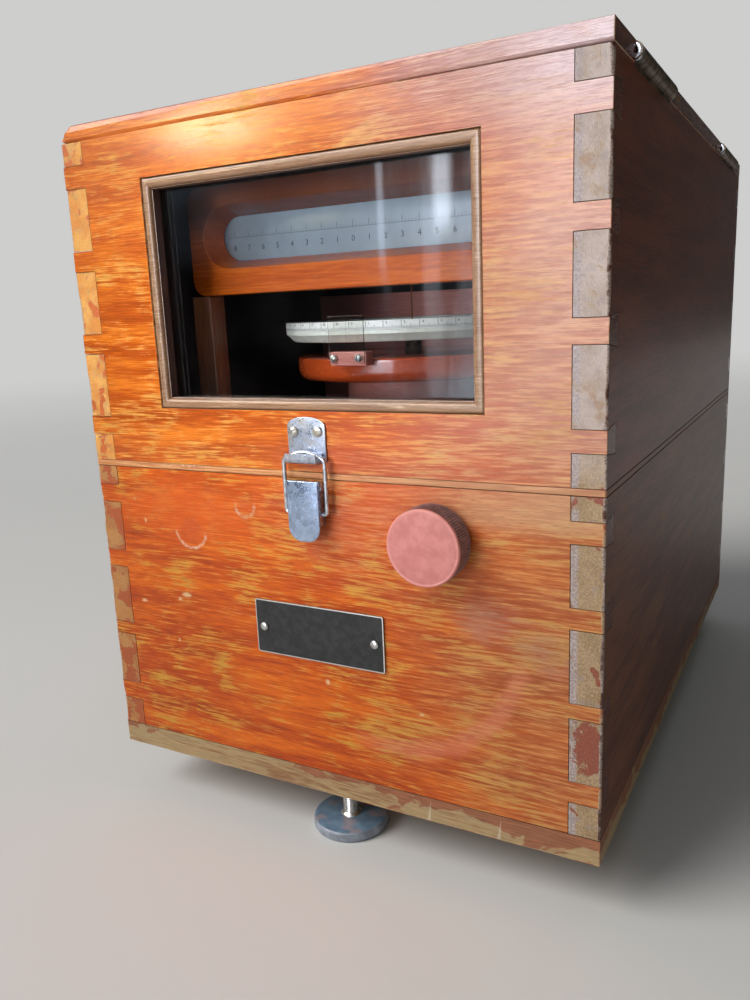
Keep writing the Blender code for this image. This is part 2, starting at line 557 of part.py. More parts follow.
# ---------------------------------------------------------------- lamp scale
BAR = (-102.3, 102.3, 278.0, 338.5)
BAR_Y = (44.0, 57.7)
SLOT_C, SLOT_R, SLOT_A, SLOT_FLARE = 309.8, 11.8, 74.7, 5.5
scale_bar = plate("scale_bar", [rounded(*BAR, 8.0, 4)], "XZ", *BAR_Y, "mahogany", smooth=True)


def slot_loop(n=10):
    pts = []
    for s, a0 in ((1, -90), (-1, 90)):
        for i in range(n + 1):
            a = math.radians(a0 + 180.0 * i / n)
            pts.append((s * SLOT_A + SLOT_R * math.cos(a), SLOT_C + SLOT_R * math.sin(a)))
    return pts


slot = plate("scale_slot", [slot_loop()], "XZ", BAR_Y[0] - 1.0, BAR_Y[1] + 1.0, cutter=True)
for v in slot.data.vertices:
    # local (x, y) is the world's (x, z) about the slot's centre; the front ring is opened into a wide chamfer
    if v.co.z > 0:
        cx = max(-SLOT_A, min(SLOT_A, v.co.x * 1000.0)) / 1000.0
        d = Vector((v.co.x - cx, v.co.y))
        grow = (SLOT_R + SLOT_FLARE * 15.7 / 14.7) / SLOT_R
        v.co.x, v.co.y = cx + d.x * grow, d.y * grow
boolean(scale_bar, slot)
box("opal_scale", (-97.0, 97.0), (58.0, 60.5), (289.0, 331.0), "opal")
box("scale_upright_left", (-104.5, -91.0), (44.4, 57.7), (DECK_Z[1] + G, BAR[2] - G), "mahogany_dark")
box("scale_upright_right", (91.0, 104.5), (44.4, 57.7), (DECK_Z[1] + G, BAR[2] - G), "mahogany_dark")
box("partition_panel", (-120.0, 120.0), (212.0, 226.0), (DECK_Z[1] + G, 278.0), "mahogany_dark")

# ---------------------------------------------------------------- coils and mirrors
for tag, y0 in (("front", 84.0), ("rear", 152.0)):
    coil = turned(f"fixed_coil_{tag}", [(26.0, 20.0), (43.5, 20.0), (45.0, 18.5), (45.0, 1.5), (43.5, 0.0), (26.0, 0.0)],
                  0, y0, COIL_Z, "Y", "copper", steps=26, ring=True)
    boolean(coil, box(f"coil_stand_{tag}", (-22.0, 22.0), (y0 + 2.0, y0 + 18.0), (BASE_T + G, 46.0), cutter=True), "UNION")

moving = plate("moving_coil", [rounded(AXIS_Y - 18.0, AXIS_Y + 18.0, COIL_Z - 26.0, COIL_Z + 26.0, 5.0, 3),
                               rounded(AXIS_Y - 12.0, AXIS_Y + 12.0, COIL_Z - 20.0, COIL_Z + 20.0, 2.0, 3)], "YZ", -4.0, 4.0, "copper", "torsion_axis")
boolean(moving, rod("coil_stem", 0, AXIS_Y, (COIL_Z + 23.0 + 308.0) / 2, "Z", 0.45, 308.0 - COIL_Z - 23.0, cutter=True, segments=10), "UNION")
box("coil_mirror", (-6.0, 6.0), (AXIS_Y + 0.75, AXIS_Y + 1.95), (296.0, 308.0), "mirror", "torsion_axis")

plate("return_mirror", [[(424.0, DECK_Z[1] + G), (436.0, DECK_Z[1] + G), (436.0, DECK_Z[1] + 6.0), (430.0, DECK_Z[1] + 6.0), (430.0, 280.0), (424.0, 280.0)]],
      "YZ", -107.0, -27.0, "mirror")

lamp = box("lamp_house", (25.0, 65.0), (300.0, 345.0), (DECK_Z[1] + G, 357.0), "enamel")
boolean(lamp, rod("lens_tube", 45.0, 295.0, 335.0, "Y", 11.5, 14.0, cutter=True, segments=24), "UNION")
boolean(lamp, box("lamp_hollow", (27.0, 63.0), (302.0, 343.0), (DECK_Z[1] + 2.3, 360.0), cutter=True))
boolean(lamp, rod("lens_bore", 45.0, 296.0, 335.0, "Y", 9.0, 20.0, cutter=True, segments=24))
bulb = [(0.0, 348.0)] + [(13.0 * math.sin(math.radians(a)), 335.0 + 13.0 * math.cos(math.radians(a))) for a in (30, 60, 90, 120)]
bulb += [(8.0, 322.0), (8.0, 300.0), (10.0, 299.0), (10.0, 290.0), (7.0, 289.0), (7.0, DECK_Z[1] + 2.6), (0.0, DECK_Z[1] + 2.6)]
turned("lamp_bulb", bulb, 45.0, 322.0, 0.0, "Z", "glass", steps=16)

# ---------------------------------------------------------------- levelling screws
for tag, (fx, fy) in zip(("front", "rear_left", "rear_right"), FOOT_AT):
    e = pivot(f"foot_{tag}_axis", fx, fy, -FOOT_DROP)
    z0 = -FOOT_DROP
    prof = [(0.0, 38.0), (3.6, 38.0), (STUD_R, 36.6), (STUD_R, z0 + FOOT_T), (FOOT_R - 1.0, z0 + FOOT_T), (FOOT_R, z0 + FOOT_T - 1.0),
            (FOOT_R, z0 + 0.9), (FOOT_R - 0.9, z0), (0.0, z0)]
    turned(f"levelling_foot_{tag}", prof, fx, fy, 0.0, "Z", "foot_grey", f"foot_{tag}_axis", steps=24)

# ---------------------------------------------------------------- terminals on the back
strip = box("terminal_strip", (-80.0, 80.0), (D + G, D + 8.3), (TERM_Z - 17.0, TERM_Z + 17.0), "enamel")
for i, tx in enumerate(TERM_X):
    boolean(strip, rod(f"terminal_post_{i}", tx, (D + 4.0 + TERM_END) / 2, TERM_Z, "Y", 2.5, TERM_END - D - 4.0, cutter=True, segments=12), "UNION")
    pivot(f"terminal_{i}_axis", tx, D + 8.6, TERM_Z)
    nut = [(7.0, 7.5), (7.0, 0.6), (6.4, 0.0), (2.85, 0.0), (2.85, 8.0), (6.4, 8.0)]
    turned(f"terminal_nut_{i + 1}", nut, tx, D + 8.6, TERM_Z, "Y", "brass", f"terminal_{i}_axis", steps=16, ring=True)

bpy.context.view_layer.update()
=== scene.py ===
"""Laboratory electrodynamometer in a dovetailed mahogany case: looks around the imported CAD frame."""

import math

import bmesh
import bpy
from mathutils import Matrix, Vector, noise


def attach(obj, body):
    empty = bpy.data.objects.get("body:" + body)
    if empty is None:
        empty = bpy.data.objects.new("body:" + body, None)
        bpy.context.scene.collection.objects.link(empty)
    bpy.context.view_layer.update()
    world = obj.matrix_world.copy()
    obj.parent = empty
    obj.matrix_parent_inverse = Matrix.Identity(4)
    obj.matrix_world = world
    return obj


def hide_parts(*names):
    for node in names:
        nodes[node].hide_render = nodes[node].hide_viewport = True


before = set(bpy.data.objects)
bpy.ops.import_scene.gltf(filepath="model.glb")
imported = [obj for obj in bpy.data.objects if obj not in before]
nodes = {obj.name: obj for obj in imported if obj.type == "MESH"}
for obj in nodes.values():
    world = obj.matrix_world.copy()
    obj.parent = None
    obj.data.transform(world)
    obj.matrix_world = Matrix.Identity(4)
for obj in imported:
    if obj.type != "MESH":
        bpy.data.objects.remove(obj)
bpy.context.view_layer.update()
scene = bpy.context.scene
rad = math.radians

OFF = Vector((-1.5, -230.25, 31.0))          # design millimetres -> row frame
W2, D, H = 152.4, 453.6, 372.3


def P(x, y, z):
    return (Vector((x, y, z)) + OFF) / 1000.0


def Q(v):
    """Row frame metres -> design millimetres."""
    return Vector(v) * 1000.0 - OFF


# =====================================================================================================
# node graph helper
# =====================================================================================================
class G:
    def __init__(self, name):
        self.m = bpy.data.materials.new(name)
        self.m.use_nodes = True
        self.t = self.m.node_tree
        self.t.nodes.clear()
        self.out = self.t.nodes.new("ShaderNodeOutputMaterial")
        tc = self.t.nodes.new("ShaderNodeTexCoord")
        mp = self.t.nodes.new("ShaderNodeMapping")
        mp.inputs["Scale"].default_value = (1000.0, 1000.0, 1000.0)
        mp.inputs["Location"].default_value = tuple(-OFF)
        self.link(tc.outputs["Object"], mp.inputs["Vector"])
        self.p = mp.outputs["Vector"]            # design millimetres
        sp = self.t.nodes.new("ShaderNodeSeparateXYZ")
        self.link(self.p, sp.inputs[0])
        self.x, self.y, self.z = sp.outputs

    def link(self, a, b):
        self.t.links.new(a, b)

    def put(self, sock, v):
        if isinstance(v, bpy.types.NodeSocket):
            self.link(v, sock)
        elif v is not None:
            if hasattr(sock.default_value, "__len__") and not hasattr(v, "__len__"):
                v = (v,) * len(sock.default_value)
            if hasattr(v, "__len__") and hasattr(sock.default_value, "__len__") and len(v) < len(sock.default_value):
                v = tuple(v) + (1.0,) * (len(sock.default_value) - len(v))
            sock.default_value = v

    def math(self, op, a, b=None, c=None, clamp=False):
        n = self.t.nodes.new("ShaderNodeMath")
        n.operation = op
        n.use_clamp = clamp
        self.put(n.inputs[0], a)
        if b is not None:
            self.put(n.inputs[1], b)
        if c is not None:
            self.put(n.inputs[2], c)
        return n.outputs[0]

    def add(self, a, b): return self.math("ADD", a, b)
    def sub(self, a, b): return self.math("SUBTRACT", a, b)
    def mul(self, a, b): return self.math("MULTIPLY", a, b)
    def mx(self, a, b): return self.math("MAXIMUM", a, b)
    def mn(self, a, b): return self.math("MINIMUM", a, b)
    def ab(self, a): return self.math("ABSOLUTE", a)
    def inv(self, a): return self.math("SUBTRACT", 1.0, a)

    def step(self, v, lo, hi, a=0.0, b=1.0):
        """Smooth ramp of v from lo to hi onto a..b."""
        n = self.t.nodes.new("ShaderNodeMapRange")
        n.interpolation_type = "SMOOTHSTEP"
        self.put(n.inputs["Value"], v)
        n.inputs["From Min"].default_value = lo
        n.inputs["From Max"].default_value = hi
        n.inputs["To Min"].default_value = a
        n.inputs["To Max"].default_value = b
        return n.outputs["Result"]

    def vec(self, x, y, z):
        n = self.t.nodes.new("ShaderNodeCombineXYZ")
        self.put(n.inputs[0], x)
        self.put(n.inputs[1], y)
        self.put(n.inputs[2], z)
        return n.outputs[0]

    def scaled(self, s, offset=(0, 0, 0), v=None):
        n = self.t.nodes.new("ShaderNodeMapping")
        n.inputs["Scale"].default_value = s if hasattr(s, "__len__") else (s, s, s)
        n.inputs["Location"].default_value = offset
        self.link(v or self.p, n.inputs["Vector"])
        return n.outputs["Vector"]

    def noise(self, s, detail=2.0, rough=0.5, off=(0, 0, 0), dist=0.0, v=None):
        n = self.t.nodes.new("ShaderNodeTexNoise")
        n.inputs["Scale"].default_value = 1.0
        n.inputs["Detail"].default_value = detail
        n.inputs["Roughness"].default_value = rough
        n.inputs["Distortion"].default_value = dist
        self.link(self.scaled(s, off, v), n.inputs["Vector"])
        return n.outputs[0]

    def voronoi(self, s, off=(0, 0, 0), feature="F1", v=None):
        n = self.t.nodes.new("ShaderNodeTexVoronoi")
        n.feature = feature
        n.inputs["Scale"].default_value = 1.0
        self.link(self.scaled(s, off, v), n.inputs["Vector"])
        return n.outputs["Distance"]

    def wave(self, s, off=(0, 0, 0), dist=0.0, detail=2.0, dscale=1.0, axis="X", v=None):
        n = self.t.nodes.new("ShaderNodeTexWave")
        n.bands_direction = axis
        n.inputs["Scale"].default_value = 1.0
        n.inputs["Distortion"].default_value = dist
        n.inputs["Detail"].default_value = detail
        n.inputs["Detail Scale"].default_value = dscale
        self.link(self.scaled(s, off, v), n.inputs["Vector"])
        return n.outputs["Fac"]

    def mix(self, f, a, b, kind="MIX"):
        n = self.t.nodes.new("ShaderNodeMix")
        n.data_type = "RGBA"
        n.blend_type = kind
        n.clamp_factor = True
        self.put(n.inputs[0], f)
        self.put(n.inputs[6], a)
        self.put(n.inputs[7], b)
        return n.outputs[2]

    def blend(self, f, a, b):
        n = self.t.nodes.new("ShaderNodeMix")
        n.data_type = "FLOAT"
        self.put(n.inputs[0], f)
        self.put(n.inputs[2], a)
        self.put(n.inputs[3], b)
        return n.outputs[0]

    def ramp(self, f, stops):
        n = self.t.nodes.new("ShaderNodeValToRGB")
        e = n.color_ramp.elements
        while len(e) < len(stops):
            e.new(0.5)
        for el, (at, col) in zip(e, stops):
            el.position = at
            el.color = (*col, 1.0) if hasattr(col, "__len__") else (col, col, col, 1.0)
        self.put(n.inputs[0], f)
        return n.outputs[0]

    def disc(self, cx, cz, r0, r1, sx=1.0, sz=1.0, wob=None):
        """1 inside r0, 0 beyond r1, about a point of the front (x, z)."""
        dx = self.mul(self.sub(self.x, cx), sx)
        dz = self.mul(self.sub(self.z, cz), sz)
        d = self.math("SQRT", self.add(self.mul(dx, dx), self.mul(dz, dz)))
        if wob is not None:
            d = self.add(d, wob)
        return self.step(d, r0, r1, 1.0, 0.0)

    def bump(self, h, strength, distance, normal=None):
        n = self.t.nodes.new("ShaderNodeBump")
        n.inputs["Strength"].default_value = strength
        n.inputs["Distance"].default_value = distance
        self.put(n.inputs["Height"], h)
        if normal is not None:
            self.link(normal, n.inputs["Normal"])
        return n.outputs[0]

    def bsdf(self, color, rough, metal=0.0, normal=None, spec=0.5, coat=0.0, coat_rough=0.1, ior=1.5, sss=0.0, emit=None, aniso=0.0):
        b = self.t.nodes.new("ShaderNodeBsdfPrincipled")
        self.put(b.inputs["Base Color"], color)
        self.put(b.inputs["Roughness"], rough)
        self.put(b.inputs["Metallic"], metal)
        b.inputs["Specular IOR Level"].default_value = spec
        b.inputs["IOR"].default_value = ior
        self.put(b.inputs["Coat Weight"], coat)
        b.inputs["Coat Roughness"].default_value = coat_rough
        b.inputs["Anisotropic"].default_value = aniso
        if sss:
            b.inputs["Subsurface Weight"].default_value = sss
            b.inputs["Subsurface Radius"].default_value = (0.002, 0.0015, 0.001)
        if normal is not None:
            self.link(normal, b.inputs["Normal"])
        self.link(b.outputs[0], self.out.inputs["Surface"])
        return b


# =====================================================================================================
# materials
# =====================================================================================================
def order(g, axis):
    """Coordinates with the grain's direction first."""
    a = {"X": (g.x, g.y, g.z), "Y": (g.y, g.x, g.z), "Z": (g.z, g.x, g.y)}[axis]
    return g.vec(*a)


def wood(name, axis, deep, mid, worn, wear=0.5, off=(0, 0, 0), gloss=(0.24, 0.5), coat=0.35, contrast=1.0, spots=0.6, front=False, spec=0.5,
         pores=1.0, chips=True, scratch=0.4):
    """Varnished mahogany: fibre streaks, broad figure, short dark pores, varnish worn through in streaks along the grain."""
    g = G(name)
    v = order(g, axis)
    o = Vector(off)
    bend = g.noise((0.006, 0.02, 0.02), 1.0, 0.5, tuple(o + Vector((7, 3, 1))), v=v)
    w = g.t.nodes.new("ShaderNodeVectorMath")
    w.operation = "ADD"
    g.link(v, w.inputs[0])
    g.link(g.vec(0.0, g.mul(bend, 9.0), g.mul(bend, 9.0)), w.inputs[1])
    v = w.outputs[0]
    fine = g.noise((0.05, 1.8, 1.8), 3.0, 0.65, tuple(o + Vector((1, 2, 3))), v=v)
    streak = g.noise((0.052, 0.74, 0.74), 3.0, 0.62, tuple(o + Vector((4, 5, 6))), v=v)
    figure = g.noise((0.010, 0.11, 0.11), 2.0, 0.5, tuple(o + Vector((9, 8, 7))), v=v)
    blotch = g.noise((0.016, 0.024, 0.024), 3.0, 0.55, tuple(o + Vector((2, 9, 4))), v=v)
    patch = g.noise((0.035, 0.06, 0.06), 4.0, 0.6, tuple(o + Vector((12, 1, 5))), dist=0.5, v=v)
    pore = g.noise((0.16, 4.2, 4.2), 1.0, 0.5, tuple(o + Vector((3, 3, 9))), v=v)
    porem = g.mul(g.step(pore, 0.58, 0.68), pores)

    tone = g.add(g.mul(g.sub(streak, 0.5), 0.75 * contrast), g.add(g.mul(g.sub(figure, 0.5), 0.75 * contrast), g.mul(g.sub(fine, 0.5), 0.75 * contrast)))
    tone = g.add(0.5, tone)
    varnish = g.ramp(tone, ((0.18, [c * 0.62 for c in deep]), (0.42, deep), (0.62, mid), (0.86, [min(0.95, c * 1.25) for c in mid])))
    # varnish worn through: long broken streaks gathered in loose areas
    wm = g.add(g.mul(streak, 0.52), g.add(g.mul(fine, 0.30), g.add(g.mul(patch, 0.46), g.mul(blotch, 0.34))))
    lo = 0.96 - 0.26 * wear
    wearm = g.step(wm, lo, lo + 0.15)
    wcol = g.mix(g.step(fine, 0.35, 0.7), [c * 0.82 for c in worn], [min(0.95, c * 1.12) for c in worn])
    col = g.mix(wearm, varnish, wcol)
    if front == "base":
        # what is left of the varnish on the baseboard's upper half, and two splinters gone from its edge
        keep = g.add(g.mul(g.sub(patch, 0.5), 1.5), g.add(g.step(g.z, 4.5, 11.0, -0.20, 0.16), g.step(g.x, -60.0, 40.0, -0.14, 0.10)))
        col = g.mix(g.mul(g.step(keep, 0.02, 0.10), 0.86), col, g.mix(g.step(fine, 0.35, 0.65), (0.200, 0.060, 0.030), (0.360, 0.112, 0.050)))
        for cx in (62.2, 101.2):
            tri = g.sub(g.ab(g.sub(g.x, g.add(cx, g.mul(g.z, 0.12)))), g.mul(g.sub(10.5, g.z), 0.085))
            col = g.mix(g.mul(g.mul(g.step(tri, 0.35, -0.25), g.step(g.y, 1.5, 1.0)), 0.60), col, (0.60, 0.52, 0.42))
    elif front:
        # the right of the front is browner and duller; on the hood it is also paler and pinker, which is a painted
        # sheen; the latch has bleached and pinked the wood around it
        right = g.step(g.add(g.x, g.mul(g.sub(blotch, 0.5), 120.0)), 10.0, 140.0)
        if front == "hood":
            # partly painted sheen: on the hood the right is mixed towards pale pinkish tan
            col = g.mix(g.mul(right, 0.68), col, g.mix(g.step(streak, 0.4, 0.62), (0.44, 0.175, 0.105), (0.62, 0.36, 0.22)))
            # painted sheen: the hood's upper right is mixed towards pale lavender
            lav_sheen = g.mul(g.step(g.add(g.x, g.mul(g.sub(patch, 0.5), 60.0)), 0.0, 130.0), g.step(g.z, 322.0, 366.0))
            col = g.mix(g.mul(lav_sheen, 0.74), col, g.mix(g.step(fine, 0.38, 0.62), (0.44, 0.31, 0.355), (0.64, 0.54, 0.615)))
        else:
            col = g.mix(g.mul(right, 0.55), col, g.mix(g.step(streak, 0.4, 0.62), (0.34, 0.120, 0.045), (0.54, 0.30, 0.125)))
            brow = g.mul(g.step(g.x, 40.0, 100.0), g.step(g.add(g.z, g.mul(g.sub(patch, 0.5), 16.0)), 158.0, 170.0))
            col = g.mix(g.mul(brow, 0.55), col, (0.62, 0.38, 0.215))
        pink = g.mul(g.disc(25.0, 168.0, 10.0, 60.0, 0.8, 1.2, g.mul(g.sub(patch, 0.5), 60.0)), g.step(streak, 0.33, 0.6))
        col = g.mix(g.mul(pink, 0.5), col, (0.60, 0.20, 0.12))
        top = g.mul(g.step(g.z, 300.0, 372.0), g.step(blotch, 0.35, 0.6))
        col = g.mix(g.mul(top, 0.16), col, (0.74, 0.30, 0.07))
        red = g.mul(g.disc(62.0, 200.0, 22.0, 62.0, 0.75, 1.5, g.mul(g.sub(patch, 0.5), 40.0)), g.step(streak, 0.62, 0.40))
        col = g.mix(g.mul(red, 0.55), col, (0.50, 0.085, 0.035))
        if front == "case":
            # whole varnish left in a band under the bead, dulled mauve patches, a faint ring, crescent dents and nicks
            band = g.mul(g.disc(-88.0, 160.0, 16.0, 46.0, 0.55, 1.9, g.mul(g.sub(patch, 0.5), 34.0)), 0.85)
            col = g.mix(band, col, g.mix(g.step(fine, 0.35, 0.65), (0.60, 0.088, 0.006), (0.72, 0.128, 0.010)))
            mauve = g.mx(g.disc(98.0, 118.0, 5.0, 22.0, 0.8, 1.4, g.mul(g.sub(patch, 0.5), 26.0)), g.disc(124.0, 106.0, 3.0, 20.0, 0.8, 1.2, g.mul(g.sub(patch, 0.5), 26.0)))
            col = g.mix(g.mul(g.mul(mauve, g.step(streak, 0.30, 0.56)), 0.62), col, (0.42, 0.205, 0.150))
            ax, az = g.sub(g.x, 42.0), g.sub(g.z, 112.0)
            ar = g.math("SQRT", g.add(g.mul(ax, ax), g.mul(az, az)))
            ring = g.mul(g.step(g.ab(g.add(g.sub(ar, 74.0), g.mul(g.sub(patch, 0.5), 14.0))), 1.5, 7.5, 1.0, 0.0), g.mul(g.step(az, -8.0, -26.0), g.step(ax, -34.0, 6.0)))
            col = g.mix(g.mul(ring, 0.50), col, (0.66, 0.205, 0.115))
            for cx, cz, r, lim in ((-83.7, 147.3, 11.0, -1.5), (-43.8, 164.5, 6.6, 0.5)):
                dx, dz = g.sub(g.x, cx), g.sub(g.z, cz)
                dd = g.math("SQRT", g.add(g.mul(dx, dx), g.mul(dz, dz)))
                arc = g.mul(g.step(g.ab(g.sub(dd, g.add(r, g.mul(g.sub(pore, 0.5), 2.2)))), 0.35, 1.25, 1.0, 0.0), g.step(dz, lim + 1.5, lim - 2.0))
                col = g.mix(g.mul(arc, 0.28), col, (0.74, 0.34, 0.17))
                col = g.mix(g.mul(g.mul(arc, g.step(g.noise(0.26, 3.0, 0.6, (cx, 1, 2)), 0.40, 0.60)), 0.55), col, (0.80, 0.64, 0.48))
                inner = g.mul(g.step(dd, r - 2.0, r - 5.0), 0.45)
                col = g.mix(inner, col, (0.52, 0.082, 0.020))
            for cx, cz, r, sx, sz in ((3.6, 68.9, 1.3, 1.0, 0.8), (-124.9, 162.5, 0.8, 0.8, 1.2), (-100.5, 77.1, 0.8, 1.0, 0.7), (-125.6, 99.2, 1.0, 0.5, 1.0), (-91.5, 106.7, 1.5, 0.40, 1.0),
                                      (-97.0, 103.5, 0.8, 0.6, 0.8), (-118.0, 150.0, 0.7, 0.9, 0.5), (60.0, 61.0, 0.7, 0.5, 1.0)):
                col = g.mix(g.mul(g.disc(cx, cz, r * 0.5, r * 1.3, sx, sz, g.mul(g.sub(pore, 0.5), 2.0)), 0.72), col, (0.76, 0.55, 0.30))
    if name == "wood_polished":
        # painted shade: the scale bar above its slot is darkened almost to black, standing in for the hood's shadow
        col = g.mix(g.step(g.z, 306.0, 324.0, 0.0, 0.88), col, (0.085, 0.022, 0.009))
    col = g.mix(g.mul(porem, g.blend(wearm, 0.34, 0.5)), col, [c * 0.35 for c in deep])
    sp = g.noise(0.55, 2.0, 0.7, tuple(o + Vector((31, 7, 2))))
    spm = g.step(sp, 0.80 - 0.03 * spots, 0.84 - 0.03 * spots)
    col = g.mix(g.mul(spm, 0.75), col, (0.66, 0.55, 0.42))
    dk = g.noise((0.5, 0.5, 0.5), 2.0, 0.6, tuple(o + Vector((5, 17, 22))))
    dkm = g.step(dk, 0.745, 0.80)
    col = g.mix(g.mul(dkm, 0.6), col, (0.05, 0.02, 0.012))
    # fine handling scratches, in two slanting families
    sc = None
    for k, (ang, sz) in enumerate(((0.5, 0.02), (-0.9, 0.016))):
        m = g.t.nodes.new("ShaderNodeMapping")
        m.inputs["Rotation"].default_value = (ang, ang, ang)
        m.inputs["Scale"].default_value = (sz, 1.5, 1.5)
        m.inputs["Location"].default_value = tuple(o + Vector((k * 5.0, 2, 3)))
        g.link(g.p, m.inputs["Vector"])
        n = g.t.nodes.new("ShaderNodeTexNoise")
        n.inputs["Scale"].default_value = 1.0
        n.inputs["Detail"].default_value = 1.0
        g.link(m.outputs[0], n.inputs["Vector"])
        s1 = g.step(n.outputs[0], 0.72, 0.76)
        sc = s1 if sc is None else g.mx(sc, s1)
    scm = g.mul(sc, g.step(patch, 0.45, 0.62))
    col = g.mix(g.mul(scm, scratch), col, (0.62, 0.45, 0.30))
    rough = g.blend(g.mx(wearm, g.mul(scm, 0.6)), gloss[0], gloss[1])
    rough = g.add(rough, g.mul(g.sub(fine, 0.5), 0.12))
    h = g.add(g.mul(fine, 0.35), g.add(g.mul(wearm, -0.30), g.add(g.mul(porem, -0.7), g.mul(spm, 0.5))))
    h = g.add(h, g.mul(blotch, 1.5))
    nrm = g.bump(h, 0.35, 0.00028)
    cw = g.mul(g.inv(wearm), coat)
    g.bsdf(col, rough, 0.0, nrm, spec=spec, coat=cw, coat_rough=0.12)
    return g.m


def end_grain(name, light, dark, remnant=0.3, off=(0, 0, 0), left=False, red=(0.24, 0.055, 0.028), plane="XZ"):
    """Board ends: short crossed fibres, greyish tan, with scraps of old red varnish."""
    g = G(name)
    o = Vector(off)
    a = g.noise((0.9, 0.9, 0.9), 3.0, 0.65, tuple(o))
    m1 = g.t.nodes.new("ShaderNodeMapping")
    m1.inputs["Rotation"].default_value = (0.0, 0.75, 0.0) if plane == "XZ" else (0.75, 0.0, 0.0)
    m1.inputs["Scale"].default_value = (2.4, 2.4, 0.5)
    g.link(g.p, m1.inputs["Vector"])
    n1 = g.t.nodes.new("ShaderNodeTexNoise")
    n1.inputs["Scale"].default_value = 1.0
    n1.inputs["Detail"].default_value = 2.0
    g.link(m1.outputs[0], n1.inputs["Vector"])
    m2 = g.t.nodes.new("ShaderNodeMapping")
    m2.inputs["Rotation"].default_value = (0.0, -0.7, 0.0) if plane == "XZ" else (-0.7, 0.0, 0.0)
    m2.inputs["Scale"].default_value = (2.0, 2.0, 0.45)
    g.link(g.p, m2.inputs["Vector"])
    n2 = g.t.nodes.new("ShaderNodeTexNoise")
    n2.inputs["Scale"].default_value = 1.0
    n2.inputs["Detail"].default_value = 2.0
    g.link(m2.outputs[0], n2.inputs["Vector"])
    hatch = g.mx(g.step(n1.outputs[0], 0.5, 0.66), g.step(n2.outputs[0], 0.52, 0.68))
    blot = g.noise(0.07, 3.0, 0.6, tuple(o + Vector((3, 4, 5))))
    base = g.mix(g.step(blot, 0.38, 0.62), dark, light)
    base = g.mix(g.mul(hatch, 0.30 if left else 0.65), base, [min(0.95, c * 1.35) for c in light])
    base = g.mix(g.mul(g.step(a, 0.58, 0.42), 0.22 if left else 0.5), base, [c * 0.5 for c in dark])
    if not left:
        # painted sheen: above the parting line the right-hand end blocks and their hatching are lightened to pale
        # lavender grey
        up = g.step(g.z, 180.0, 215.0)
        base = g.mix(g.mul(up, 0.78), base, g.mix(g.step(blot, 0.38, 0.62), (0.42, 0.33, 0.285), (0.56, 0.47, 0.455)))
        base = g.mix(g.mul(g.mul(hatch, up), 0.40), base, (0.70, 0.62, 0.62))
        edge = g.step(g.add(g.x, g.mul(g.sub(a, 0.5), 2.5)), 141.2, 139.6)
        base = g.mix(g.mul(g.mul(edge, g.step(blot, 0.34, 0.50)), 0.68), base, g.mix(g.step(a, 0.4, 0.6), (0.30, 0.245, 0.27), (0.52, 0.46, 0.49)))
    vio = g.mul(g.step(g.noise(0.16, 2.0, 0.5, tuple(o + Vector((8, 1, 2)))), 0.55, 0.66), 0.10 if left else 0.35)
    base = g.mix(vio, base, (0.33, 0.27, 0.30))
    r = g.noise(0.085, 3.0, 0.6, tuple(o + Vector((11, 14, 5))), dist=0.6)
    lo = 0.70 - 0.28 * remnant
    rem = g.step(r, lo, lo + 0.025)
    if not left:
        low = g.mul(g.step(g.z, 84.0, 78.0), g.step(g.x, 142.5, 143.5))
        wob = g.mul(g.sub(g.noise(0.20, 4.0, 0.7, tuple(o)), 0.5), 19.0)
        big = g.disc(147.0, 62.0, 7.4, 8.0, 1.0, 0.55, wob)
        rem = g.mx(g.mul(g.mul(rem, g.inv(low)), g.step(g.z, 190.0, 215.0, 1.0, 0.30)), big)
    col = g.mix(g.mul(rem, 0.92), base, g.mix(g.step(a, 0.4, 0.7), red, [c * 1.35 for c in red]))
    rim = g.mul(g.step(r, lo - 0.035, lo - 0.005), g.inv(rem))
    col = g.mix(g.mul(rim, 0.35), col, (0.42, 0.28, 0.12))
    h = g.add(g.mul(hatch, 0.7), g.add(g.mul(a, 0.8), g.mul(rem, 0.9)))
    g.bsdf(col, g.blend(rem, 0.58, 0.30), 0.0, g.bump(h, 0.55, 0.00030), spec=0.4)
    return g.m


def arris(name, light, dark, off=(0, 0, 0), amount=0.62, base=(0.42, 0.11, 0.03)):
    """Rubbed corner: bare pale wood broken by what is left of the varnish."""
    g = G(name)
    o = Vector(off)
    n = g.noise(0.10, 4.0, 0.65, tuple(o))
    f = g.noise(1.3, 3.0, 0.6, tuple(o + Vector((4, 2, 1))))
    col = g.mix(g.step(f, 0.35, 0.65), dark, light)
    col = g.mix(g.step(n, amount - 0.10, amount), col, base)
    col = g.mix(g.mul(g.step(g.noise(0.55, 2.0, 0.6, tuple(o)), 0.66, 0.72), 0.8), col, (0.09, 0.04, 0.02))
    g.bsdf(col, 0.48, 0.0, g.bump(g.add(f, n), 0.5, 0.0003), spec=0.45)
    return g.m


def inside_wood(name, col, axis="Y", off=(0, 0, 0), rough=0.55):
    g = G(name)
    v = order(g, axis)
    s = g.noise((0.03, 0.7, 0.7), 3.0, 0.6, off, v=v)
    f = g.noise((0.06, 2.5, 2.5), 2.0, 0.6, off, v=v)
    b = g.noise(0.02, 3.0, 0.5, off)
    c = g.ramp(g.add(g.mul(s, 0.6), g.add(g.mul(f, 0.25), g.mul(b, 0.15))), ((0.30, [k * 0.55 for k in col]), (0.5, col), (0.72, [k * 1.5 for k in col])))
    g.bsdf(c, g.add(rough - 0.05, g.mul(f, 0.12)), 0.0, g.bump(f, 0.3, 0.0002), spec=0.35)
    return g.m


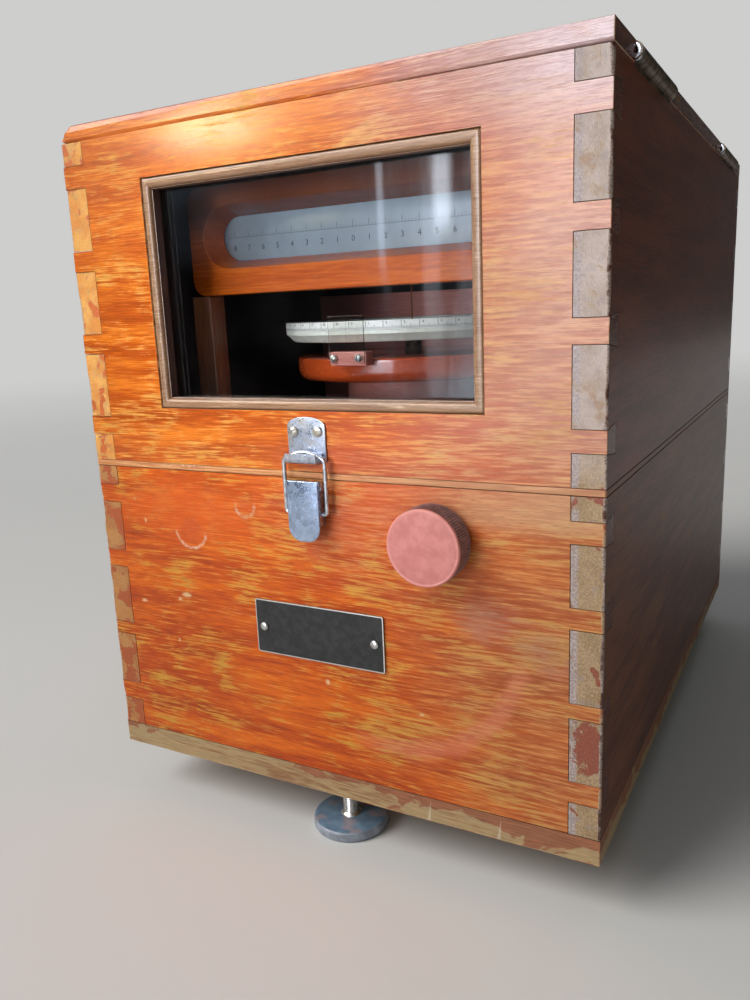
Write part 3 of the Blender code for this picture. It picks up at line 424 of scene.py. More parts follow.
def nickel(name, tone=(0.60, 0.63, 0.70), rough=0.24, pit=1.0, off=(0, 0, 0), yellow=0.0):
    """Old nickel plate: blue-grey bloom, fine pitting, rubbed bright where it is handled."""
    g = G(name)
    o = Vector(off)
    bloom = g.noise(0.30, 4.0, 0.62, tuple(o))
    pits = g.noise(2.6, 2.0, 0.6, tuple(o + Vector((3, 1, 2))))
    pm = g.mul(g.step(pits, 0.60, 0.68), pit)
    fleck = g.step(g.noise(1.5, 2.0, 0.6, tuple(o + Vector((8, 8, 3)))), 0.64, 0.72)
    c = g.ramp(bloom, ((0.28, [k * 0.42 for k in tone]), (0.46, [k * 0.78 for k in tone]), (0.60, tone), (0.80, [min(0.97, k * 1.35) for k in tone])))
    c = g.mix(g.mul(fleck, 0.5), c, (0.86, 0.86, 0.84))
    c = g.mix(g.mul(pm, 0.7), c, (0.10, 0.11, 0.15))
    if yellow:
        c = g.mix(g.mul(g.step(g.noise(0.2, 2.0, 0.5, tuple(o)), 0.5, 0.65), yellow), c, (0.55, 0.42, 0.22))
    r = g.add(g.blend(g.step(bloom, 0.36, 0.62), rough + 0.20, rough), g.mul(pm, 0.25))
    g.bsdf(c, r, 1.0, g.bump(g.add(g.mul(pm, -1.0), g.mul(bloom, 0.8)), 0.45, 0.00012))
    return g.m


def metal(name, tone, rough=0.3, off=(0, 0, 0), tarnish=(0.2, 0.15, 0.08), amount=0.5, scale=0.25):
    g = G(name)
    o = Vector(off)
    a = g.noise(scale, 4.0, 0.6, tuple(o))
    b = g.noise(2.2, 2.0, 0.6, tuple(o + Vector((5, 1, 3))))
    c = g.mix(g.mul(g.step(a, 0.42, 0.66), amount), tone, tarnish)
    c = g.mix(g.mul(g.step(b, 0.60, 0.72), 0.35), c, [k * 0.35 for k in tone])
    g.bsdf(c, g.add(rough, g.mul(a, 0.22)), 1.0, g.bump(b, 0.25, 0.00008))
    return g.m


def plastic(name, tone, rough=0.4, off=(0, 0, 0), vary=0.15, dirt=0.2, scale=0.12, spec=0.5):
    g = G(name)
    o = Vector(off)
    a = g.noise(scale, 4.0, 0.6, tuple(o))
    b = g.noise(1.8, 3.0, 0.6, tuple(o + Vector((5, 1, 3))))
    c = g.mix(g.step(a, 0.35, 0.68), [k * (1 - vary) for k in tone], [min(0.97, k * (1 + vary * 0.6)) for k in tone])
    c = g.mix(g.mul(g.step(b, 0.60, 0.70), dirt), c, [k * 0.35 for k in tone])
    g.bsdf(c, g.add(rough - 0.06, g.mul(b, 0.14)), 0.0, g.bump(b, 0.15, 0.00008), spec=spec)
    return g.m


def mat_knob():
    g = G("knob_red")
    dx, dz = g.sub(g.x, 70.5), g.sub(g.z, 155.0)
    r = g.math("SQRT", g.add(g.mul(dx, dx), g.mul(dz, dz)))
    side = g.step(g.y, -14.6, -13.2)
    b = g.noise(0.14, 4.0, 0.6, (3, 5, 1))
    f = g.noise(2.4, 3.0, 0.65, (1, 1, 8))
    face = g.mix(g.step(b, 0.35, 0.66), (0.52, 0.165, 0.150), (0.62, 0.225, 0.210))
    face = g.mix(g.mul(g.step(f, 0.56, 0.70), 0.30), face, (0.50, 0.135, 0.110))
    rim = g.mul(g.step(r, 16.8, 18.4), g.inv(side))
    face = g.mix(g.mul(rim, 0.5), face, (0.76, 0.32, 0.27))
    dirt = g.mix(g.step(g.noise(0.35, 3.0, 0.6, (7, 1, 4)), 0.38, 0.62), (0.130, 0.085, 0.098), (0.30, 0.185, 0.200))
    col = g.mix(side, face, dirt)
    ridge = g.mul(side, g.step(r, 18.9, 19.28))
    col = g.mix(g.mul(ridge, 0.65), col, (0.44, 0.29, 0.30))
    g.bsdf(col, g.blend(side, 0.46, 0.55), 0.0, g.bump(f, 0.12, 0.0001), spec=0.45)
    return g.m


def mat_plate():
    g = G("plate_black")
    a = g.noise(0.25, 4.0, 0.6, (1, 7, 2))
    s = g.noise((0.05, 2.0, 2.4), 2.0, 0.6, (4, 4, 1))
    c = g.mix(g.step(a, 0.35, 0.7), (0.008, 0.009, 0.010), (0.022, 0.023, 0.025))
    c = g.mix(g.mul(g.step(s, 0.66, 0.72), 0.25), c, (0.12, 0.12, 0.12))
    c = g.mix(g.mul(g.step(g.noise(1.0, 2.0, 0.6, (9, 2, 2)), 0.70, 0.74), 0.6), c, (0.25, 0.24, 0.23))
    g.bsdf(c, g.add(0.26, g.mul(a, 0.18)), 0.0, g.bump(a, 0.2, 0.0001), spec=0.5)
    return g.m


def mat_glass(name, tint=(1, 1, 1), dust=0.5, rough=0.02):
    """A clear pane with specks of dust and a soft film; lamps reach what is behind it."""
    g = G(name)
    b = g.t.nodes.new("ShaderNodeBsdfGlass")
    b.inputs["Color"].default_value = (*tint, 1.0)
    b.inputs["Roughness"].default_value = rough
    b.inputs["IOR"].default_value = 1.45
    tr = g.t.nodes.new("ShaderNodeBsdfTransparent")
    tr.inputs["Color"].default_value = (*[0.94 * t for t in tint], 1.0)
    lp = g.t.nodes.new("ShaderNodeLightPath")
    m = g.t.nodes.new("ShaderNodeMixShader")
    g.put(m.inputs[0], g.mx(lp.outputs["Is Shadow Ray"], lp.outputs["Is Diffuse Ray"]))
    g.link(b.outputs[0], m.inputs[1])
    g.link(tr.outputs[0], m.inputs[2])
    if dust:
        d = g.t.nodes.new("ShaderNodeBsdfPrincipled")
        d.inputs["Base Color"].default_value = (0.62, 0.64, 0.66, 1.0)
        d.inputs["Roughness"].default_value = 0.8
        speck = g.step(g.noise(0.9, 2.0, 0.7, (3, 9, 1)), 0.765, 0.80)
        film = g.mul(g.step(g.noise(0.03, 4.0, 0.6, (5, 2, 8)), 0.35, 0.8), 0.012)
        m2 = g.t.nodes.new("ShaderNodeMixShader")
        g.put(m2.inputs[0], g.mul(g.add(g.mul(speck, 0.75), film), dust))
        g.link(m.outputs[0], m2.inputs[1])
        g.link(d.outputs[0], m2.inputs[2])
        m = m2
    g.link(m.outputs[0], g.out.inputs["Surface"])
    return g.m


ORANGE_DEEP, ORANGE_MID, WORN = (0.48, 0.062, 0.002), (0.66, 0.128, 0.005), (0.63, 0.305, 0.040)
M = {}
M["case_front"] = wood("wood_case_front", "X", ORANGE_DEEP, ORANGE_MID, WORN, wear=0.60, front="case", coat=0.18, spec=0.20, scratch=0.16)
M["hood_front"] = wood("wood_hood_front", "X", (0.52, 0.088, 0.004), (0.72, 0.185, 0.012), (0.72, 0.35, 0.060), wear=0.58, off=(40, 3, 9), front="hood", coat=0.50, spec=0.20, scratch=0.16)
M["lid_edge"] = wood("wood_lid", "X", (0.52, 0.088, 0.004), (0.72, 0.185, 0.012), (0.72, 0.35, 0.060), wear=0.52, off=(40, 3, 9), front="hood", coat=0.5, spec=0.26)
M["lid_top"] = wood("wood_lid_top", "X", (0.20, 0.035, 0.012), (0.30, 0.068, 0.022), (0.44, 0.18, 0.07), wear=0.30, off=(13, 31, 2), gloss=(0.22, 0.45))
M["side"] = wood("wood_side", "Y", (0.115, 0.024, 0.012), (0.185, 0.042, 0.018), (0.34, 0.16, 0.075), wear=0.16, off=(70, 20, 5), gloss=(0.34, 0.52), coat=0.05,
                 spots=0.5, spec=0.12, pores=0.5)
M["side_case"] = wood("wood_side_case", "Y", (0.12, 0.032, 0.012), (0.20, 0.062, 0.020), (0.32, 0.17, 0.075), wear=0.24, off=(90, 10, 15), gloss=(0.36, 0.52),
                      coat=0.04, spots=0.7, spec=0.12, pores=0.5)
M["rear"] = wood("wood_rear", "X", (0.16, 0.032, 0.012), (0.26, 0.062, 0.020), (0.40, 0.18, 0.075), wear=0.28, off=(20, 50, 33), coat=0.25)
M["pin_side"] = wood("wood_pin_side", "Y", (0.10, 0.022, 0.011), (0.155, 0.036, 0.016), (0.30, 0.15, 0.07), wear=0.2, off=(3, 50, 33), coat=0.04, spec=0.12)
M["base_edge"] = wood("wood_base", "X", (0.27, 0.135, 0.060), (0.36, 0.215, 0.100), (0.43, 0.30, 0.150), wear=1.1, off=(5, 77, 3), gloss=(0.45, 0.6), coat=0.0, spots=1.2, front="base", spec=0.25, contrast=0.45, pores=0.5)
M["bottom"] = inside_wood("wood_bottom", (0.30, 0.18, 0.09), "Y", (4, 4, 9), 0.65)
M["end_right"] = end_grain("endgrain_right", (0.45, 0.31, 0.175), (0.33, 0.215, 0.105), 0.30, (2, 7, 1), red=(0.25, 0.060, 0.035))
M["end_left"] = end_grain("endgrain_left", (0.79, 0.385, 0.080), (0.70, 0.245, 0.028), 0.60, (21, 4, 12), left=True, red=(0.52, 0.098, 0.014))
M["end_case_left"] = end_grain("endgrain_case_left", (0.50, 0.225, 0.058), (0.40, 0.135, 0.028), 0.72, (5, 44, 2), left=True, red=(0.36, 0.070, 0.014))
M["arris"] = arris("arris", (0.56, 0.40, 0.26), (0.38, 0.20, 0.10), (1, 2, 3), 0.60)
# the right-hand arrises: rubbed pale wood, with a bluish-white tint that is a painted highlight
M["arris_side_worn_highlight"] = arris("arris_side_worn_highlight", (0.50, 0.42, 0.38), (0.24, 0.14, 0.09), (5, 2, 3), 0.60, (0.10, 0.03, 0.018))
g = G("parting_strip")
sn = g.noise((0.03, 1.2, 1.2), 3.0, 0.6, (9, 2, 3))
sb = g.noise((0.05, 0.3, 0.3), 3.0, 0.6, (2, 2, 3))
sc_ = g.mix(g.step(sn, 0.38, 0.62), (0.48, 0.17, 0.050), (0.68, 0.34, 0.145))
sc_ = g.mix(g.mul(g.step(sb, 0.52, 0.62), 0.6), sc_, (0.40, 0.105, 0.030))
sc_ = g.mix(g.mul(g.step(g.x, -40.0, 130.0), 0.45), sc_, (0.46, 0.25, 0.155))
chip = g.mul(g.step(g.ab(g.add(g.x, 84.0)), 15.0, 19.0, 1.0, 0.0), g.mul(g.step(g.noise((0.55, 1.6, 1.6), 3.0, 0.7, (3, 3, 1)), 0.55, 0.60), g.step(g.z, 183.4, 184.4)))
sc_ = g.mix(g.mul(chip, 0.85), sc_, (0.86, 0.76, 0.64))
g.bsdf(sc_, g.add(0.42, g.mul(sb, 0.12)), 0.0, g.bump(g.add(sn, g.mul(chip, -1.5)), 0.5, 0.0003), spec=0.3)
M["strip"] = g.m
M["rim_x"] = inside_wood("wood_rim_x", (0.30, 0.150, 0.072), "X", (6, 5, 2), 0.55)
M["rim_y"] = inside_wood("wood_rim_y", (0.30, 0.150, 0.072), "Y", (9, 5, 2), 0.55)
M["inner"] = inside_wood("wood_inside", (0.030, 0.013, 0.009), "Y", (1, 5, 2), 0.6)
g = G("wood_joint")
jn = g.noise(0.22, 3.0, 0.6, (8, 5, 2))
jl = g.mix(g.step(jn, 0.40, 0.60), (0.36, 0.15, 0.050), (0.62, 0.40, 0.20))
jr = g.mix(g.step(jn, 0.40, 0.60), (0.13, 0.085, 0.075), (0.34, 0.27, 0.25))
g.bsdf(g.mix(g.step(g.x, -90.0, 20.0), jl, jr), g.add(0.62, g.mul(jn, 0.1)), 0.0, g.bump(jn, 0.2, 0.0002), spec=0.2)
M["joint"] = g.m
M["moulding"] = wood("wood_moulding", "X", (0.25, 0.130, 0.070), (0.40, 0.230, 0.128), (0.58, 0.40, 0.26), wear=0.30, off=(61, 5, 3), gloss=(0.28, 0.42), coat=0.45, contrast=0.35, spots=0.2, scratch=0.0, pores=0.3)
# painted shade: the window's reveal walls are given a dark brown, standing in for the shade inside the opening
M["reveal"] = inside_wood("wood_reveal", (0.085, 0.040, 0.030), "Z", (3, 5, 21), 0.45)
M["polished"] = wood("wood_polished", "X", (0.52, 0.078, 0.003), (0.74, 0.155, 0.006), (0.6, 0.2, 0.04), wear=-1.0, off=(8, 61, 5), gloss=(0.22, 0.36), coat=0.35, spec=0.3, contrast=0.55, spots=-1.0, scratch=0.0)
M["table_red"] = wood("wood_table", "X", (0.42, 0.050, 0.010), (0.56, 0.085, 0.014), (0.6, 0.2, 0.04), wear=-1.0, off=(80, 6, 5), gloss=(0.14, 0.3), coat=0.7, contrast=0.45, spots=-1.0, scratch=0.0)
M["mahogany_dark"] = wood("wood_dark", "Z", (0.27, 0.085, 0.035), (0.42, 0.140, 0.052), (0.3, 0.12, 0.05), wear=-0.6, off=(80, 6, 5), gloss=(0.3, 0.45), coat=0.2, contrast=0.6, spots=-1.0, scratch=0.0)
M["pinkish"] = wood("wood_pinkish", "X", (0.56, 0.180, 0.150), (0.70, 0.265, 0.230), (0.3, 0.12, 0.05), wear=-0.8, off=(18, 6, 5), gloss=(0.3, 0.45), coat=0.2, contrast=0.4, spots=-1.0, scratch=0.0)
M["deck"] = inside_wood("deck_black", (0.008, 0.007, 0.007), "Y", (1, 5, 2), 0.5)
M["nickel"] = nickel("nickel_lever", (0.44, 0.54, 0.73), 0.20, 1.25)
M["nickel_plate"] = nickel("nickel_keeper", (0.60, 0.66, 0.80), 0.25, 1.0, (6, 3, 3), 0.25)
M["nickel_bright"] = nickel("nickel_wire", (0.70, 0.72, 0.76), 0.16, 0.4, (16, 3, 3))
M["nickel_screw"] = nickel("nickel_screw", (0.66, 0.66, 0.64), 0.25, 0.6, (26, 3, 3), 0.35)
M["steel"] = metal("steel_turned", (0.52, 0.52, 0.53), 0.24, (3, 1, 1), (0.25, 0.22, 0.2), 0.4)
M["brass"] = metal("brass_aged", (0.52, 0.37, 0.16), 0.30, (4, 1, 1), (0.34, 0.23, 0.10), 0.45, 0.05)
M["brass_dark"] = metal("brass_blackened", (0.25, 0.185, 0.13), 0.46, (7, 1, 1), (0.05, 0.04, 0.035), 0.75, 0.15)
M["knob"] = mat_knob()
M["plate"] = mat_plate()
M["silver"] = metal("plate_border", (0.74, 0.72, 0.68), 0.28, (2, 9, 1), (0.4, 0.36, 0.3), 0.35)
g = G("foot_disc")
fa, fb, fp = g.noise(0.10, 4.0, 0.6, (2, 4, 1)), g.noise(1.8, 3.0, 0.6, (7, 5, 4)), g.noise(0.085, 3.0, 0.6, (31, 4, 9))
fc = g.mix(g.step(fa, 0.35, 0.68), (0.13, 0.205, 0.30), (0.20, 0.315, 0.44))
fc = g.mix(g.mul(g.step(fp, 0.50, 0.60), 0.65), fc, (0.38, 0.27, 0.27))
fc = g.mix(g.mul(g.step(fb, 0.60, 0.70), 0.35), fc, (0.07, 0.09, 0.12))
g.bsdf(fc, g.add(0.32, g.mul(fb, 0.14)), 0.0, g.bump(fb, 0.15, 0.00008), spec=0.45)
M["foot"] = g.m
M["foot_side"] = plastic("foot_rim", (0.300, 0.335, 0.400), 0.34, (2, 14, 1), 0.30, 0.35, 0.15)
M["stud"] = metal("foot_stud", (0.66, 0.65, 0.62), 0.18, (12, 4, 1), (0.36, 0.30, 0.22), 0.5, 0.3)
M["drum"] = plastic("drum_ivory", (0.88, 0.88, 0.87), 0.28, (3, 3, 1), 0.06, 0.04)
M["skirt"] = plastic("drum_skirt", (0.82, 0.82, 0.76), 0.32, (3, 9, 1), 0.10, 0.12)
M["ink"] = plastic("ink_black", (0.018, 0.018, 0.020), 0.45, (1, 3, 1), 0.2, 0.0)
M["ink_grey"] = plastic("ink_grey", (0.14, 0.14, 0.15), 0.45, (1, 3, 1), 0.2, 0.0)
M["ink_faint"] = plastic("ink_faint", (0.11, 0.12, 0.14), 0.45, (1, 3, 1), 0.2, 0.0)
M["opal"] = plastic("opal_scale", (0.31, 0.375, 0.46), 0.22, (1, 8, 1), 0.10, 0.05, 0.03)
M["enamel"] = plastic("black_enamel", (0.022, 0.023, 0.025), 0.32, (1, 8, 5), 0.3, 0.1)
M["ebonite"] = plastic("ebonite", (0.020, 0.018, 0.016), 0.26, (11, 8, 5), 0.3, 0.1)
M["copper"] = metal("winding", (0.42, 0.16, 0.07), 0.36, (2, 2, 2), (0.16, 0.05, 0.03), 0.6)
M["mirror"] = metal("silvering", (0.90, 0.90, 0.92), 0.03, (1, 2, 2), (0.8, 0.8, 0.8), 0.2)
M["glass"] = mat_glass("pane_glass", (0.97, 0.99, 1.0), 0.28)
M["glass_clear"] = mat_glass("cursor_glass", (0.98, 0.98, 0.97), 0.15)
M["bulb"] = mat_glass("bulb_glass", (1, 1, 1), 0.0)
M["dark_hole"] = plastic("dark_recess", (0.010, 0.008, 0.007), 0.8, (1, 8, 5), 0.3, 0.1)


# =====================================================================================================
# mesh helpers
# =====================================================================================================
def new_object(name, me, mats, body, replaces=(), smooth=None, weighted=False):
    ob = bpy.data.objects.new(name, me)
    scene.collection.objects.link(ob)
    me.materials.clear()
    for m in mats if isinstance(mats, (list, tuple)) else [mats]:
        me.materials.append(m)
    if smooth is not None:
        me.shade_smooth()
        me.set_sharp_from_angle(angle=rad(smooth))
    if weighted:
        w = ob.modifiers.new("weighted", "WEIGHTED_NORMAL")
        w.mode = "FACE_AREA"
        w.weight = 50
        w.keep_sharp = True
    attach(ob, body)
    if replaces:
        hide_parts(*replaces)
    return ob


def mesh_from(bm, name):
    me = bpy.data.meshes.new(name)
    bm.to_mesh(me)
    bm.free()
    return me


def clean(node):
    """The CAD node's mesh with its flat faces rebuilt as single polygons."""
    bm = bmesh.new()
    bm.from_mesh(nodes[node].data)
    bmesh.ops.remove_doubles(bm, verts=bm.verts, dist=2e-6)
    bmesh.ops.dissolve_limit(bm, angle_limit=rad(0.6), verts=bm.verts, edges=bm.edges)
    bm.normal_update()
    return bm


def cut_edge(e, n):
    a, b = e.verts
    A, B = a.co.copy(), b.co.copy()
    start, cur = a, e
    for k in range(1, n):
        _, nv = bmesh.utils.edge_split(cur, start, 1.0 / (n - k + 1))
        nv.co = A.lerp(B, k / n)
        cur = next(x for x in nv.link_edges if b in x.verts)
        start = nv


def bevelled(name, bm, width_of, segments=3, step=5.0, top=2.0, warp=None):
    """Bevels each sharp edge by its own width in mm, after cutting wide ones into short lengths, then warps the rounded edge so it is uneven."""
    lay = bm.edges.layers.float.get("bevel_weight_edge") or bm.edges.layers.float.new("bevel_weight_edge")
    sharp = [e for e in bm.edges if len(e.link_faces) == 2 and e.calc_face_angle(0.0) > rad(18)]
    jobs = [(e, width_of(e)) for e in sharp]
    for e, w in jobs:
        e[lay] = min(1.0, w / top)
    for e, w in jobs:
        n = int(e.calc_length() * 1000.0 / step)
        if w >= 0.6 and n > 1:
            cut_edge(e, n)
    me = mesh_from(bm, name + "_pre")
    ob = bpy.data.objects.new(name + "_pre", me)
    scene.collection.objects.link(ob)
    m = ob.modifiers.new("b", "BEVEL")
    m.width = top / 1000.0
    m.segments = segments
    m.limit_method = "WEIGHT"
    m.use_clamp_overlap = True
    m.miter_outer = "MITER_SHARP"
    dg = bpy.context.evaluated_depsgraph_get()
    out = bpy.data.meshes.new_from_object(ob.evaluated_get(dg))
    bpy.data.objects.remove(ob, do_unlink=True)
    bpy.data.meshes.remove(me)
    out.name = name
    if warp:
        for v in out.vertices:
            v.co = P(*warp(Q(v.co)))
    return out


def worn_box(lo, hi, zone=2.1, amp=0.9, freq=0.06, seed=0.0, extra=None):
    """Scales the rounding of a box's outer edges by a slow noise, so corners are rubbed unevenly."""
    def warp(p):
        d = [(p[k] - lo[k], 1) for k in range(3)] + [(hi[k] - p[k], -1) for k in range(3)]
        f = 1.0 + amp * noise.noise(Vector((p.x * freq + seed, p.y * freq, p.z * freq))) + 0.45 * noise.noise(Vector((p.x * freq * 4.5, p.y * freq * 4.5 + seed, p.z * freq * 4.5)))
        f = max(0.25, f)
        if extra:
            f *= extra(p)
        q = Vector(p)
        for k in range(3):
            a, b = p[k] - lo[k], hi[k] - p[k]
            if 0.0 <= a <= zone:
                q[k] = lo[k] + a * f
            elif 0.0 <= b <= zone:
                q[k] = hi[k] - b * f
        return q
    return warp


EPS = 0.06
CASE_LO, CASE_HI = Vector((-W2, 0.0, 0.0)), Vector((W2, D, H))


def on_outer(f):
    """Which outer plane of the wooden box a face lies on, or None."""
    c = Q(f.calc_center_median())
    n = f.normal
    for k in range(3):
        if n[k] < -0.999 and abs(c[k] - CASE_LO[k]) < EPS:
            return (k, -1)
        if n[k] > 0.999 and abs(c[k] - CASE_HI[k]) < EPS:
            return (k, 1)
    return None


def board(node, body, pick, mats, joint=0.17, corner=1.3, special=None, seed=0.0, extra=None, lo=None, hi=None, name=None):
    """A finely rounded stand-in for a wooden board. pick(normal, centre) gives the index in mats for each polygon."""
    bm = clean(node)

    def width(e):
        s = [on_outer(f) for f in e.link_faces]
        if s[0] and s[1] and s[0] != s[1]:
            return corner
        if special:
            w = special(e, s)
            if w is not None:
                return w
        return joint

    warp = worn_box(lo or CASE_LO, hi or CASE_HI, seed=seed, extra=extra)
    me = bevelled(name or node + "_wood", bm, width, warp=warp)
    for p in me.polygons:
        p.use_smooth = True
    ob = new_object(name or node + "_wood", me, mats, body, (node,), None, weighted=True)
    for p in me.polygons:
        p.material_index = pick(p.normal, Q(p.center))
    return ob


# ---------------------------------------------------------------- case, hood and lid boards
def pick_front(n, c):
    # 0 face, 1 arris, 2 inside, 3 pin end on the side, 4 joint, 5 rim of the opening
    if n.y < -0.98:
        return 0
    if n.y > 0.98:
        return 2
    if abs(n.x) > 0.98:
        return 3 if abs(c.x) > W2 - 0.3 else 4
    if abs(n.z) > 0.98:
        return 5
    if abs(c.x) > W2 - 3.0 and c.y < 3.0:
        return 1
    return 0 if c.y < 1.0 else 4


def pick_rear(n, c):
    if n.y > 0.98:
        return 0
    if n.y < -0.98:
        return 2
    if abs(n.x) > 0.98:
        return 3 if abs(c.x) > W2 - 0.3 else 4
    if abs(n.z) > 0.98:
        return 5
    if abs(c.x) > W2 - 3.0 and c.y > D - 3.0:
        return 1
    return 0 if c.y > D - 1.0 else 4


def pick_side(n, c):
    # 0 face, 1 arris, 2 inside, 3 tail end, 4 joint
    s = 1 if c.x > 0 else -1
    if n.x * s > 0.98:
        return 0
    if n.x * s < -0.98:
        return 2
    if abs(n.y) > 0.985:
        return 3 if (c.y < 0.3 or c.y > D - 0.3) else 4
    if abs(n.z) > 0.98:
        return 5
    if abs(c.x) > W2 - 3.0 and (c.y < 3.0 or c.y > D - 3.0):
        return 1
    if c.y < 1.0 or c.y > D - 1.0:
        return 3
    return 0 if abs(c.x) > W2 - 1.0 else 4


def rub(p):
    """Extra rubbing at the corner of the hood by the lid's left end and along the front's left edge."""
    f = 1.0
    if p.x < -140.0 and p.y < 12.0:
        f += 0.55 * max(0.0, noise.noise(Vector((3.0, 1.0, p.z * 0.05))))
        if 258.0 < p.z < 268.0:
            f += 0.9
    return f


board("case_front_board", "case", pick_front, [M["case_front"], M["arris"], M["inner"], M["pin_side"], M["joint"], M["rim_x"]], seed=1.0, extra=rub)
board("case_rear_board", "case", pick_rear, [M["rear"], M["arris"], M["inner"], M["pin_side"], M["joint"], M["rim_x"]], seed=2.0)
board("case_right_board", "case", pick_side, [M["side_case"], M["arris_side_worn_highlight"], M["inner"], M["end_right"], M["joint"], M["rim_y"]], seed=1.0)
board("case_left_board", "case", pick_side, [M["side_case"], M["arris"], M["inner"], M["end_case_left"], M["joint"], M["rim_y"]], seed=1.0, extra=rub)
board("hood_front_board", "hood", pick_front, [M["hood_front"], M["arris"], M["inner"], M["pin_side"], M["joint"], M["rim_x"]], seed=1.0, extra=rub,
      special=lambda e, s: 0.7 if all(abs(Q(v.co).x) < 97.2 and Q(v.co).y < 0.1 and 216.0 < Q(v.co).z < 340.0 for v in e.verts) else None)
board("hood_rear_board", "hood", pick_rear, [M["rear"], M["arris"], M["inner"], M["pin_side"], M["joint"], M["rim_x"]], seed=2.0)
board("hood_right_board", "hood", pick_side, [M["side"], M["arris_side_worn_highlight"], M["inner"], M["end_right"], M["joint"], M["rim_y"]], seed=1.0)
board("hood_left_board", "hood", pick_side, [M["side"], M["arris"], M["inner"], M["end_left"], M["joint"], M["rim_y"]], seed=1.0, extra=rub)


def pick_lid(n, c):
    # 0 front/rear edge, 1 arris, 2 under, 3 top, 4 ends
    if n.z > 0.98:
        return 3
    if n.z < -0.98:
        return 2
    if abs(n.y) > 0.98:
        return 0
    if abs(n.x) > 0.98:
        return 4
    if c.y < 3.0 and abs(n.x) < 0.3:
        return 0
    return 1


def rub_lid(p):
    f = 0.22
    if p.x < -130.0 and p.y < 40.0:
        f += 2.1 * max(0.0, (p.x + 130.0) / -22.4) * max(0.0, 1.0 - p.y / 40.0)
    return f


lid_ob = board("top_lid", "lid", pick_lid, [M["lid_edge"], M["arris"], M["inner"], M["lid_top"], M["pin_side"]], joint=0.10, corner=1.0, seed=1.0, extra=rub_lid)
lid_bm = bmesh.new()
lid_bm.from_mesh(lid_ob.data)
for co, no in ([((-W2 + k, 0.0, 0.0), (1, 0, 0)) for k in (1.5, 3.0, 4.5, 6.0, 7.5, 9.0, 10.5, 12.5, 30.0)]
               + [((0.0, 0.0, H - k), (0, 0, 1)) for k in (1.5, 3.0, 4.5, 6.0, 7.5)]
               + [((0.0, k, 0.0), (0, 1, 0)) for k in (3.0, 8.0, 16.0, 26.0, 38.0, 50.0, 62.0, 72.0)]):
    bmesh.ops.bisect_plane(lid_bm, geom=lid_bm.verts[:] + lid_bm.edges[:] + lid_bm.faces[:], plane_co=P(*co), plane_no=no)
lid_bm.to_mesh(lid_ob.data)
lid_bm.free()
for v in lid_ob.data.vertices:
    q = Q(v.co)
    if q.x < -W2 + 12.0 and q.z > H - 12.0 and q.y < 70.0:
        c = 8.4 * (1.0 - max(0.0, q.y) / 70.0) * (1.0 + 0.25 * noise.noise(Vector((q.y * 0.15, 2.0, 5.0))))
        d = (q.x + W2) + (H - q.z)
        if d < c:
            q.x += (c - d) * 0.5
            q.z -= (c - d) * 0.5
            v.co = P(*q)
for p in lid_ob.data.polygons:
    if max(abs(k) for k in p.normal) > 0.9995:
        p.use_smooth = False


bm = bmesh.new()
vs = [bm.verts.new(P(x, y, z)) for z in (362.83, 363.07) for y in (0.14, 3.0) for x in (-138.0, 58.0)]
for f in ((0, 1, 3, 2), (4, 6, 7, 5), (0, 4, 5, 1), (2, 3, 7, 6), (0, 2, 6, 4), (1, 5, 7, 3)):
    bm.faces.new([vs[i] for i in f])
bmesh.ops.recalc_face_normals(bm, faces=bm.faces)
new_object("lid_joint_polish", mesh_from(bm, "lid_joint_polish"), M["hood_front"], "hood", (), None)


def pick_base(n, c):
    if n.z < -0.98:
        return 2
    if n.z > 0.98:
        return 3
    if abs(n.y) > 0.98 or abs(n.x) > 0.98:
        return 0
    if c.z < 3.0 or (abs(c.x) > W2 - 3.0):
        return 1
    return 0


board("baseboard", "case", pick_base, [M["base_edge"], M["arris"], M["bottom"], M["inner"]], corner=1.6, seed=4.0)


def pick_bead(n, c):
    if abs(n.z) > 0.98:
        return 3 if (c.y < 15.4 or c.y > D - 15.4) else 4
    if (n.y > 0.98 and c.y < 20.0) or (n.y < -0.98 and c.y > 400.0) or (n.x > 0.98 and c.x < 0) or (n.x < -0.98 and c.x > 0):
        return 1
    return 0 if abs(c.x) < W2 - 0.9 or c.y < 1.0 else 2


board("parting_bead", "case", pick_bead, [M["strip"], M["joint"], M["side_case"], M["rim_x"], M["rim_y"]], joint=0.45, corner=1.2, seed=1.0, extra=rub)


# =====================================================================================================
# turned, extruded and swept pieces
# =====================================================================================================
AXES = {"X": Matrix.Rotation(rad(90), 4, "Y"), "Y": Matrix.Rotation(rad(-90), 4, "X"), "-Y": Matrix.Rotation(rad(90), 4, "X"), "Z": Matrix.Identity(4)}


def lathe(bm, profile, at, axis="Z", seg=96, closed=False, radial=None):
    """Profile of (radius, height) turned about an axis through a design point; radial(angle, r, h) may alter the radius."""
    M4 = Matrix.Translation(P(*at)) @ AXES[axis]
    rings = []
    for r, h in profile:
        if r <= 1e-6:
            rings.append([bm.verts.new(M4 @ Vector((0, 0, h / 1000.0)))])
            continue
        ring = []
        for i in range(seg):
            a = 2 * math.pi * i / seg
            rr = radial(a, r, h) if radial else r
            ring.append(bm.verts.new(M4 @ Vector((rr * math.cos(a) / 1000.0, rr * math.sin(a) / 1000.0, h / 1000.0))))
        rings.append(ring)
    pairs = list(zip(rings, rings[1:])) + ([(rings[-1], rings[0])] if closed else [])
    faces = []
    for A, B in pairs:
        for i in range(seg):
            j = (i + 1) % seg
            if len(A) == 1 and len(B) == 1:
                continue
            if len(A) == 1:
                faces.append(bm.faces.new((A[0], B[j], B[i])))
            elif len(B) == 1:
                faces.append(bm.faces.new((A[i], A[j], B[0])))
            else:
                faces.append(bm.faces.new((A[i], A[j], B[j], B[i])))
    return faces


def finish_bm(bm, name):
    bmesh.ops.recalc_face_normals(bm, faces=bm.faces)
    return mesh_from(bm, name)


